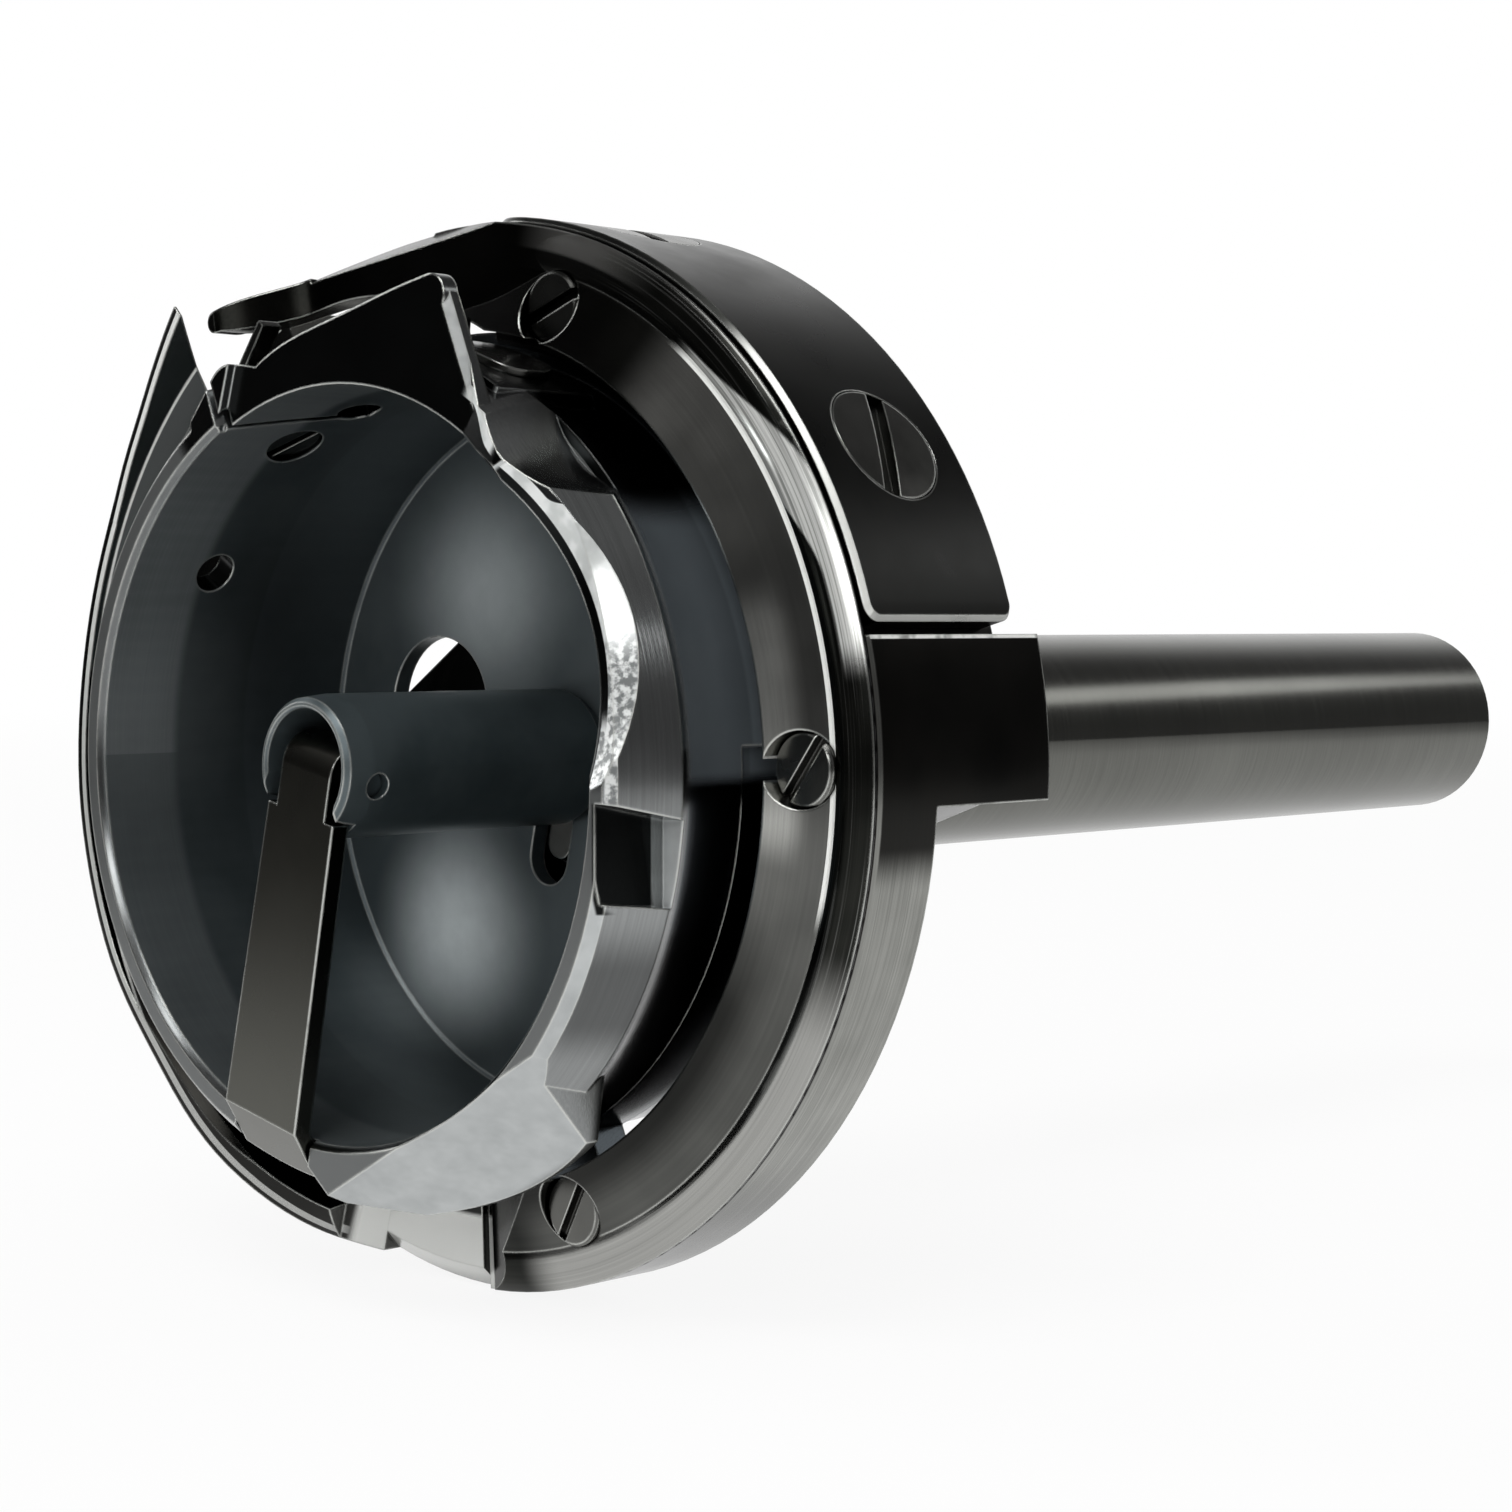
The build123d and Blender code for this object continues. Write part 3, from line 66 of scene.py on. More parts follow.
class Net:
    """One material's nodes, with short calls for the ones used here.

    A mask is a number from 0 to 1. A tone is a linear colour. Places on the part are the radius
    from its axis and the length along Y in millimetres, and the angle about Y in radians, which
    is 0 towards +X and a quarter turn at the top. The place itself is in metres.
    """

    def __init__(self, name):
        self.material = bpy.data.materials.new(name)
        self.material.use_nodes = True
        self.tree = self.material.node_tree
        self.tree.nodes.clear()
        output = self.tree.nodes.new("ShaderNodeOutputMaterial")
        self.shader = self.tree.nodes.new("ShaderNodeBsdfPrincipled")
        self.tree.links.new(self.shader.outputs[0], output.inputs[0])
        coords = self.tree.nodes.new("ShaderNodeTexCoord")
        self.place = coords.outputs["Object"]
        self.normal = coords.outputs["Normal"]

    def put(self, socket, value):
        """Links a socket to the given one, or sets a plain value."""
        if isinstance(value, bpy.types.NodeSocket):
            self.tree.links.new(value, socket)
        else:
            socket.default_value = value

    def set(self, **values):
        """Inputs of the material's shader by name."""
        for name, value in values.items():
            self.put(self.shader.inputs[name.replace("_", " ")], value)

    # numbers
    def math(self, kind, a, b=0.0):
        node = self.tree.nodes.new("ShaderNodeMath")
        node.operation = kind
        self.put(node.inputs[0], a)
        self.put(node.inputs[1], b)
        return node.outputs[0]

    def product(self, *shares):
        total = shares[0]
        for share in shares[1:]:
            total = self.math("MULTIPLY", total, share)
        return total

    def either(self, *masks):
        """The highest of the masks."""
        highest = masks[0]
        for mask in masks[1:]:
            highest = self.math("MAXIMUM", highest, mask)
        return highest

    def without(self, mask):
        return self.math("SUBTRACT", 1.0, mask)

    def weighed(self, a, b, share):
        """A share of a and the rest of b."""
        return self.math("ADD", self.product(a, share), self.product(b, 1.0 - share))

    def span(self, value, start, end, at_start=0.0, at_end=1.0, smooth=True):
        """Number that runs from at_start to at_end while the value goes from start to end."""
        node = self.tree.nodes.new("ShaderNodeMapRange")
        node.interpolation_type = "SMOOTHSTEP" if smooth else "LINEAR"
        for socket, number in zip(node.inputs, (value, start, end, at_start, at_end)):
            self.put(socket, number)
        return node.outputs[0]

    def above(self, value, limit, soft):
        """1 over a limit, 0 under it, with a soft margin to either side of it."""
        return self.span(value, limit - soft, limit + soft)

    def below(self, value, limit, soft):
        """1 under a limit, 0 over it, with a soft margin to either side of it."""
        return self.span(value, limit + soft, limit - soft)

    def band(self, value, limits, soft):
        """1 between two limits, fading out over a soft margin outside them."""
        low, high = limits
        return self.product(self.span(value, low - soft, low), self.span(value, high + soft, high))

    def uneven(self, noise, low, high):
        """Number that wanders between low and high with the noise."""
        return self.span(noise, NOISE_LOW, NOISE_HIGH, low, high, smooth=False)

    def stretched(self, noise):
        return self.span(noise, NOISE_LOW, NOISE_HIGH)

    def blend(self, share, a, b):
        """Plain number between a and b."""
        node = self.tree.nodes.new("ShaderNodeMix")
        node.data_type = "FLOAT"
        for socket, value in zip((node.inputs[0], *node.inputs[2:4]), (share, a, b)):
            self.put(socket, value)
        return node.outputs[0]

    # tones
    def mix(self, share, a, b):
        """Tone between a and b."""
        node = self.tree.nodes.new("ShaderNodeMix")
        node.data_type = "RGBA"
        self.put(node.inputs[0], share)
        for socket, tone in zip(node.inputs[6:8], (a, b)):
            self.put(socket, tone if isinstance(tone, bpy.types.NodeSocket) else (*tone, 1.0))
        return node.outputs[2]

    def scale(self, share, tone):
        """Tone made darker or lighter by a share."""
        node = self.tree.nodes.new("ShaderNodeVectorMath")
        node.operation = "SCALE"
        self.put(node.inputs[0], tone)
        self.put(node.inputs["Scale"], share)
        return node.outputs[0]

    # vectors and places
    def vector(self, kind, a, b, output="Value"):
        node = self.tree.nodes.new("ShaderNodeVectorMath")
        node.operation = kind
        self.put(node.inputs[0], a)
        self.put(node.inputs[1], b)
        return node.outputs[output]

    def split(self, vector):
        node = self.tree.nodes.new("ShaderNodeSeparateXYZ")
        self.put(node.inputs[0], vector)
        return node.outputs[0], node.outputs[1], node.outputs[2]

    def join(self, x, y, z):
        node = self.tree.nodes.new("ShaderNodeCombineXYZ")
        for socket, value in zip(node.inputs, (x, y, z)):
            self.put(socket, value)
        return node.outputs[0]

    def around_axis(self):
        """Radius, length along Y and angle about Y."""
        x, y, z = (self.product(v, 1.0 / MM) for v in self.split(self.place))
        radius = self.math("SQRT", self.math("ADD", self.product(x, x), self.product(z, z)))
        return radius, y, self.math("ARCTAN2", z, x)

    def facing_front(self):
        """Y of the surface's normal: -1 where it faces the open front."""
        return self.split(self.normal)[1]

    def facing_out(self):
        """How far the surface faces away from the axis, from -1 to 1."""
        x, z = self.split(self.place)[::2]
        away = self.vector("NORMALIZE", self.join(x, 0.0, z), (0.0, 0.0, 0.0), "Vector")
        return self.vector("DOT_PRODUCT", away, self.normal)

    def facing_in(self):
        """Mask of bores and other faces towards the axis."""
        return self.below(self.facing_out(), -0.35, 0.15)

    def spot(self, centre, reach):
        """Soft round spot about a point, both in millimetres."""
        distance = self.vector("DISTANCE", self.place, [v * MM for v in centre])
        return self.span(distance, reach * MM, 0.0)

    def spots(self, *marks):
        """Soft round spots, each with its centre, reach and share."""
        return self.either(
            *(self.product(self.spot(centre, reach), share) for centre, reach, share in marks)
        )

    # textures and surface
    def noise(self, vector, scale, detail=3.0, rough=0.55):
        node = self.tree.nodes.new("ShaderNodeTexNoise")
        self.put(node.inputs["Vector"], vector)
        self.put(node.inputs["Scale"], scale)
        self.put(node.inputs["Detail"], detail)
        self.put(node.inputs["Roughness"], rough)
        return node.outputs[0]

    def turned(self, radius, y, angle, fine, along):
        """Rings left by turning and grinding, so fine across and so broken along their length."""
        vector = self.join(
            self.product(radius, fine), self.product(y, fine), self.product(angle, along)
        )
        return self.noise(vector, 1.0, 4.0, 0.6)

    def rounded(self, width):
        """Normal rounded over the edges, and a mask of them; width in millimetres."""
        bevel = self.tree.nodes.new("ShaderNodeBevel")
        bevel.samples = 6
        bevel.inputs["Radius"].default_value = width * MM
        geometry = self.tree.nodes.new("ShaderNodeNewGeometry")
        cosine = self.vector("DOT_PRODUCT", bevel.outputs[0], geometry.outputs["Normal"])
        return bevel.outputs[0], self.span(cosine, EDGE_FLAT, EDGE_SHARP)

    def openness(self):
        """1 on open faces, lower in corners and gaps."""
        node = self.tree.nodes.new("ShaderNodeAmbientOcclusion")
        node.samples = 6
        node.inputs["Distance"].default_value = CREVICE_REACH * MM
        return node.outputs["AO"]

    def bump(self, height, strength, normal):
        node = self.tree.nodes.new("ShaderNodeBump")
        node.inputs["Distance"].default_value = BUMP_DISTANCE
        self.put(node.inputs["Strength"], strength)
        self.put(node.inputs["Height"], height)
        self.put(node.inputs["Normal"], normal)
        self.set(Normal=node.outputs[0])

    def finish(self, tone, roughness, height, width=0.13, wear_and_highlight=0.95, grain=0.10, corner_shade=0.45):
        """Bright edges, worn and painted as highlights, painted shade in corners, and the fine
        height of the surface.

        Width is that of the rounded edges in millimetres, the next argument the share of bright
        metal on them, worn and painted highlight, grain the strength of the height, and the last
        argument the share of the tone left under painted shade in a deep corner.
        """
        normal, edge = self.rounded(width)
        open_share = self.openness()
        patch = self.noise(self.place, PATCH_SCALE)
        worn_and_highlit = self.product(
            edge, self.span(patch, *WEAR_AND_HIGHLIGHT_PATCHES), self.span(open_share, *OPEN_FOR_WEAR_AND_HIGHLIGHT), wear_and_highlight
        )
        # edges painted bright for wear and highlight, and corners darkened as painted shade
        self.set(
            Base_Color=self.scale(
                self.span(open_share, *CREVICE_PAINTED_SHADE, corner_shade, 1.0), self.mix(worn_and_highlit, tone, WEAR_AND_HIGHLIGHT_TONE)
            ),
            Roughness=self.blend(worn_and_highlit, roughness, WORN_ROUGHNESS),
        )
        self.bump(height, grain, normal)


# ---------------------------------------------------------------- materials
# A pair of tones is the darkest and the lightest that a noise mixes. A ramp along the angle reads:
# from this angle to that one, the tone goes from one share of itself to the other. Most ramps, and
# the tones for each kind of face, are painted light and shade: reflections, highlights and shade.
FACE_Y = -16.0        # parting face of hook and ring, millimetres
HOOK_R = 21.75        # outside of hook and ring
SHELF_R = 20.08       # inner edge of the ring's outer shelf
SEAM_R = HOOK_R - 0.35
SEAM_TONE = (0.008, 0.008, 0.008)
TURNED_FRONT = (-0.45, 0.10)    # limit of facing_front for a face turned that way, and its margin


def ground_steel():
    """Shaft: satin, ground round the axis, with cloudy bands."""
    net = Net("ground_steel")
    lines = net.turned(*net.around_axis(), fine=9.0, along=0.9)
    cloud = net.noise(net.place, 90.0)
    share = net.stretched(net.weighed(lines, cloud, 0.5))
    net.set(Metallic=1.0)
    net.finish(
        net.mix(share, (0.104, 0.105, 0.096), (0.150, 0.152, 0.139)),
        net.span(lines, 0.2, 0.8, 0.17, 0.27, smooth=False),
        lines,
        wear_and_highlight=0.3,
        grain=0.06,
    )
    return net


# Painted reflection: the skirt lighter and the front faces darker; ramps paint light by angle.
HOOK_SKIRT = (0.17, 0.172, 0.160), (0.34, 0.342, 0.322)
HOOK_FRONT = (0.07, 0.071, 0.067), (0.14, 0.142, 0.134)
# near-black for block, lip, bores and seam; painted highlight white; painted shade in the blade
HOOK_BLACK = (0.007, 0.008, 0.008), (0.024, 0.022, 0.019)
HOOK_HIGHLIGHT = (0.78, 0.79, 0.76), (0.92, 0.93, 0.90)
HOOK_INNER_SHADE = (0.020, 0.025, 0.025), (0.040, 0.047, 0.047)
FRONT_LIGHT_RAMP = (0.05, 0.28, 0.5, 1.6)
SKIRT_LIGHT_RAMPS = (-0.45, -0.20, 1.08, 1.0), (-0.72, -0.94, 1.0, 0.55)
UNDERSIDE_SHADE_RAMPS = (-0.72, -1.10, 1.0, 0.36), (-1.9, -2.1, 1.0, 0.5)
BLOCK_FROM, BLOCK_TO = -0.16, 0.28         # block beside the guard plate
BLOCK_Y = FACE_Y + 0.34
RIDGE_FROM, RIDGE_TO = 0.2335, 0.265       # its upper edge, with a painted highlight broken by noise
RIDGE_R = HOOK_R - 0.20
RIDGE_Y = FACE_Y + 0.30
BLADE = (2.05, 2.95)
LIP_TOP, LIP_FOOT = 1.83, -1.90            # the lip runs between these on the left
# painted glint on the lip's outer land, fading out down along z
LIP_GLINT_R = (21.15, 21.45)
LIP_GLINT_RAMP = (-12.0 * MM, 14.0 * MM, 0.45, 1.0)
# flat on the lug, painted white as a reflection
LUG_FLAT = (-1.88, -1.53)
LUG_FLAT_R = 18.75
HOOK_SEAM = (-1.3, 0.3)                    # the dark line of the parting face runs here
HOOK_SEAM_Y = FACE_Y + 0.085


def hook_steel():
    """Hook: hard polished and dark, near-black on block and lip, with painted shade in the bores,
    painted reflection that makes the skirt lighter than the front, and painted highlights.
    """
    net = Net("hook_steel")
    radius, y, angle = net.around_axis()
    z = net.split(net.place)[2]
    along = net.facing_front()
    lines = net.turned(radius, y, angle, fine=14.0, along=1.2)
    cloud = net.noise(net.place, 140.0)
    share = net.stretched(net.weighed(lines, cloud, 0.5))
    skirt = net.mix(share, *HOOK_SKIRT)
    front = net.mix(share, *HOOK_FRONT)

    # where
    full_front = net.below(along, -0.86, 0.06)
    turned_front = net.below(along, *TURNED_FRONT)
    block = net.product(
        net.above(y, BLOCK_Y, 0.06),
        net.above(angle, BLOCK_FROM, 0.04),
        net.below(angle, BLOCK_TO, 0.02),
    )
    ridge_highlight = net.product(
        net.above(angle, RIDGE_FROM, 0.001),
        net.below(angle, RIDGE_TO, 0.005),
        net.above(radius, RIDGE_R, 0.05),
        net.above(y, RIDGE_Y, 0.05),
        net.span(net.noise(net.place, 900.0, 2.0), 0.3, 0.5, 0.45, 1.0),
    )
    blade = net.band(angle, BLADE, 0.05)
    blade_inside_shade = net.product(blade, net.facing_in())
    bore_shade = net.product(net.facing_in(), net.without(blade))
    left = net.either(net.below(angle, LIP_FOOT, 0.02), net.above(angle, LIP_TOP, 0.03))
    lip = net.product(turned_front, left)
    glint = net.product(
        lip, net.band(radius, LIP_GLINT_R, 0.05), net.span(z, *LIP_GLINT_RAMP, smooth=False)
    )
    lug_flat_highlight = net.product(
        turned_front, net.band(angle, LUG_FLAT, 0.02), net.above(radius, LUG_FLAT_R, 0.15)
    )
    seam = net.product(
        net.below(y, HOOK_SEAM_Y, 0.035),
        net.above(radius, SEAM_R, 0.1),
        net.band(angle, HOOK_SEAM, 0.05),
    )
    # bores painted dark as shade; the white marks are painted highlights
    dark = net.either(block, bore_shade, lip, seam)
    white = net.either(lug_flat_highlight, glint, ridge_highlight)

    # tones
    # painted light and shade along the angle on the front, the skirt and the underside
    front = net.scale(net.span(angle, *FRONT_LIGHT_RAMP), front)
    for ramp in SKIRT_LIGHT_RAMPS:
        skirt = net.scale(net.span(angle, *ramp), skirt)
    tone = net.mix(full_front, skirt, front)
    for ramp in UNDERSIDE_SHADE_RAMPS:
        tone = net.scale(net.span(angle, *ramp), tone)
    tone = net.mix(dark, tone, net.mix(cloud, *HOOK_BLACK))
    tone = net.mix(blade_inside_shade, tone, net.mix(cloud, *HOOK_INNER_SHADE))
    tone = net.mix(white, tone, net.mix(cloud, *HOOK_HIGHLIGHT))
    net.set(Metallic=net.blend(net.either(white, blade_inside_shade), 1.0, 0.15))
    net.finish(tone, net.uneven(cloud, 0.16, 0.27), lines, wear_and_highlight=net.blend(seam, 0.95, 0.0))
    return net


# The cone is painted lighter high up and darker low down; black is painted dark reflection.
RING_HIGH_LIT = (0.30, 0.30, 0.283), (0.50, 0.50, 0.47)
RING_MIDDLE = (0.11, 0.111, 0.106), (0.19, 0.191, 0.181)
RING_LOW_SHADED = (0.070, 0.071, 0.067), (0.120, 0.121, 0.113)
RING_BLACK = (0.010, 0.011, 0.010), (0.034, 0.034, 0.030)
RING_BLACK_RAMP = (0.95, 1.20, 1.0, 0.28)
RING_BLACK_FROM, RING_BLACK_TO = 0.94, -1.36   # painted dark reflection over the top and at the low end
RING_RIGHT, RING_RIGHT_R = (-0.08, 0.30), 18.75    # painted light patch at the inner edge
RING_LOWER, RING_LOWER_R = -0.40, 18.6         # painted shade on the inner edge below this
RING_SEAM_Y = FACE_Y - 0.10
SHELF_FROM, SHELF_TO = SHELF_R - 0.01, 1.70    # from this radius out, and up to this angle
# The shelf's tones paint its reflections: streaks, a lit lower stretch, the lit wedge, a grey top.
SHELF_STREAK = (0.17, 0.172, 0.165)
SHELF_LOW = (0.20, 0.20, 0.19), (0.46, 0.46, 0.44)
SHELF_LIT = (0.34, 0.345, 0.33), (0.90, 0.91, 0.88)
SHELF_TOP = (0.24, 0.24, 0.227), (0.38, 0.38, 0.36)
SHELF_TOP_RAMP = (20.78, 20.95, 0.05, 1.0)     # along the radius: its inner half stays black
LIT = (0.24, 0.86)                             # wedge of light on the shelf
LIT_OUTER_R = (0.50, 0.87, 21.70, 20.40)       # its edges, as a radius along the angle
LIT_INNER_R = (0.35, 0.60, 21.00, 20.00)
CREST = (-0.22, 0.88)                          # painted highlight along the shelf's inner edge
CREST_R = (SHELF_R - 0.13, SHELF_R + 0.09)
CREST_TONE = (0.86, 0.87, 0.84)


def ring_steel():
    """Retaining ring and finger: polished, black at the top, at its low end and on the finger as
    painted dark reflection, with painted light and shade by angle and painted highlights on the
    shelf.
    """
    net = Net("ring_steel")
    radius, y, angle = net.around_axis()
    lines = net.turned(radius, y, angle, fine=10.0, along=1.0)
    cloud = net.noise(net.place, 140.0)
    share = net.stretched(net.weighed(lines, cloud, 0.25))
    black = net.scale(net.span(angle, *RING_BLACK_RAMP), net.mix(share, *RING_BLACK))

    # cone
    ends = net.either(
        net.above(angle, RING_BLACK_FROM, 0.08), net.below(angle, RING_BLACK_TO, 0.06)
    )
    right_inner_light = net.product(
        net.band(angle, RING_RIGHT, 0.12), net.below(radius, RING_RIGHT_R, 0.55)
    )
    lower_inner_shade = net.product(
        net.below(angle, RING_LOWER, 0.15), net.below(radius, RING_LOWER_R, 0.9)
    )
    # painted light and shade on the cone; painted dark reflection at the ends, shade on inward
    # faces
    cone = net.mix(
        net.below(angle, -0.25, 0.25), net.mix(share, *RING_MIDDLE), net.mix(share, *RING_LOW_SHADED)
    )
    cone = net.mix(net.above(angle, 0.55, 0.25), cone, net.mix(share, *RING_HIGH_LIT))
    cone = net.scale(
        net.product(net.blend(right_inner_light, 1.0, 3.4), net.blend(lower_inner_shade, 1.0, 0.22)), cone
    )
    cone = net.mix(net.either(ends, net.facing_in()), cone, black)

    # outer shelf
    lit = net.product(
        net.band(angle, LIT, 0.08),
        net.below(net.math("SUBTRACT", radius, net.span(angle, *LIT_OUTER_R)), 0.075, 0.075),
        net.above(net.math("SUBTRACT", radius, net.span(angle, *LIT_INNER_R)), -0.075, 0.075),
    )
    shelf = net.mix(net.above(lines, 0.60, 0.06), black, SHELF_STREAK)
    shelf = net.mix(net.below(angle, -0.40, 0.10), shelf, net.mix(lines, *SHELF_LOW))
    shelf = net.mix(lit, shelf, net.mix(net.above(lines, 0.5, 0.12), *SHELF_LIT))
    top = net.scale(net.span(radius, *SHELF_TOP_RAMP), net.mix(cloud, *SHELF_TOP))
    shelf = net.mix(net.above(angle, 1.135, 0.115), shelf, top)
    on_shelf = net.product(net.above(radius, SHELF_FROM, 0.05), net.below(angle, SHELF_TO, 0.05))
    between_ends = net.below(net.math("ABSOLUTE", angle), -RING_BLACK_TO, 0.06)
    crest = net.product(net.band(radius, CREST_R, 0.03), net.band(angle, CREST, 0.08))
    seam = net.product(net.above(y, RING_SEAM_Y, 0.04), net.above(radius, SEAM_R, 0.1))

    tone = net.mix(net.product(on_shelf, between_ends), cone, shelf)
    tone = net.mix(crest, tone, CREST_TONE)
    tone = net.mix(seam, tone, SEAM_TONE)
    # painted highlights, left less metallic so that they show pale
    highlit = net.either(crest, net.product(on_shelf, lit, 0.6))
    net.set(Metallic=net.blend(highlit, 1.0, 0.15))
    net.finish(tone, net.uneven(cloud, 0.15, 0.25), lines, wear_and_highlight=net.blend(seam, 0.95, 0.0))
    return net


PLATE_LOW = (0.005, 0.0053, 0.005), (0.013, 0.0132, 0.012)
# top painted lighter as painted light; bevels painted bright as highlights
PLATE_TOP_LIT = (0.024, 0.0248, 0.0232), (0.046, 0.047, 0.0435)
PLATE_BEVEL_HIGHLIGHT = (0.70, 0.71, 0.68)
BEVEL_FACING = (0.58, 0.80)            # a bevel faces half outwards
PLATE_FRONT_Y = FACE_Y + 0.475
FRONT_BEVEL_TOP = 0.80
END_BEVEL_TOP = 0.335
END_BEVEL_RAMP = (-15.60, -15.30, 0.6, 0.45)    # share of the painted highlight along y


def plate_steel():
    """Guard plate: blackened and satin, painted lighter at the top, with painted highlights on the
    bevels along the front and the lower end.
    """
    net = Net("plate_steel")
    y, angle = net.around_axis()[1:]
    cloud = net.noise(net.place, 220.0, 4.0)
    front = net.product(
        net.below(y, PLATE_FRONT_Y, 0.075),
        net.below(angle, FRONT_BEVEL_TOP, 0.10),
        net.below(net.facing_front(), *TURNED_FRONT),
    )
    end = net.product(net.below(angle, END_BEVEL_TOP, 0.025), net.span(y, *END_BEVEL_RAMP))
    # bevels painted bright as highlights
    bevel = net.product(
        net.either(front, end),
        net.band(net.facing_out(), BEVEL_FACING, 0.06),
        net.span(cloud, 0.25, 0.55, 0.7, 1.0),
    )
    # top painted lighter as painted light
    outside = net.mix(
        net.above(angle, 0.775, 0.475), net.mix(cloud, *PLATE_LOW), net.mix(cloud, *PLATE_TOP_LIT)
    )
    net.set(Metallic=net.blend(bevel, 1.0, 0.30))
    net.finish(
        net.mix(bevel, outside, PLATE_BEVEL_HIGHLIGHT), net.uneven(cloud, 0.24, 0.36), cloud, wear_and_highlight=1.0
    )
    return net


# Tones for each kind of face paint the case's reflections: black, bright, highlight and sheen.
CASE_OUTER = (0.19, 0.198, 0.198), (0.34, 0.350, 0.350)
CASE_LAND = (0.085, 0.090, 0.090), (0.150, 0.156, 0.155)
CASE_BLACK = (0.005, 0.006, 0.006), (0.014, 0.015, 0.015)
CASE_BRIGHT = (0.40, 0.42, 0.42), (0.60, 0.62, 0.62)
CASE_SLOPE_HIGHLIGHT = (0.54, 0.56, 0.55), (0.74, 0.76, 0.75)
CASE_PITTED_HIGHLIGHT = (0.20, 0.21, 0.21), (0.78, 0.80, 0.79)
CASE_BLUE = (0.10, 0.12, 0.135), (0.20, 0.225, 0.245)
CASE_SLATE = (0.062, 0.078, 0.084), (0.112, 0.132, 0.139)
CASE_PAINTED_SHEEN = (0.70, 0.76, 0.77), (0.88, 0.95, 0.96)
CUP_WALL_RAMP = (14.86, 15.0, 1.0, 0.0)        # along the radius, through the cup's thin wall
MOUTH_Y = -23.9                                # the inside begins here, behind the front edge
AHEAD_Y = -19.0                                # the part of the case that stands out of the ring
RIB_Y = -16.5                                  # bearing rib, behind this
REAR_Y = -20.2                                 # back of the cup's outside, behind this
HORN = (0.02, 2.15)
NOTCH_Z = (-4.8 * MM, -0.9 * MM)
NOTCH_X = (15.25 * MM, 15.5 * MM)              # the notch's floor lies between these
NOTCH_BACK_Y = -21.2
DIP = (-0.05, 1.04)                            # lowered stretch of the mouth
DIP_Y = -23.98
SLOPE_INNER_R = (0.90, 1.03, 15.36, 16.15)     # the slope's inner edge along the angle
SLOPE_WIDTH = (0.55, 0.70, 2.5, 0.45)          # and how wide it is from there
FLANK = (0.90, 1.25)                           # bevel beside the horn, with a painted highlight
FLANK_FACING = (-0.88, -0.50)
FLANK_Y = -22.9
FACET_TOP = -0.50
FACET_RAMP = (-9.0 * MM, 4.0 * MM, 0.5, 0.85)  # painted light along x
# the outside painted darker low down and lighter high up
OUTER_LOW_SHADE_RAMP = (-0.45, -0.30, 0.40, 1.0)
OUTER_HIGH_LIGHT_RAMP = (0.25, 0.60, 1.0, 2.0)
# painted shade behind the horn
BEHIND_HORN = (1.02, 1.30)
SCOOPED = (0.50, 1.05)                         # behind the dip, where edges stay dark
SCOOPED_R, SCOOPED_Y = 16.0, -23.3
LIGHT_POOLS = (                                      # painted pools of light inside the cup: centre, reach and share
    ((-6.8, -11.1, -7.8), 6.0, 1.0),
    ((-5.0, -11.1, 7.2), 6.5, 0.5),
    ((-14.7, -21.6, 2.3), 7.0, 0.16),
)
# painted shade inside the cup: centre, reach and share
SHADE = ((-13.4, -15.5, 5.7), 7.5, 0.7)


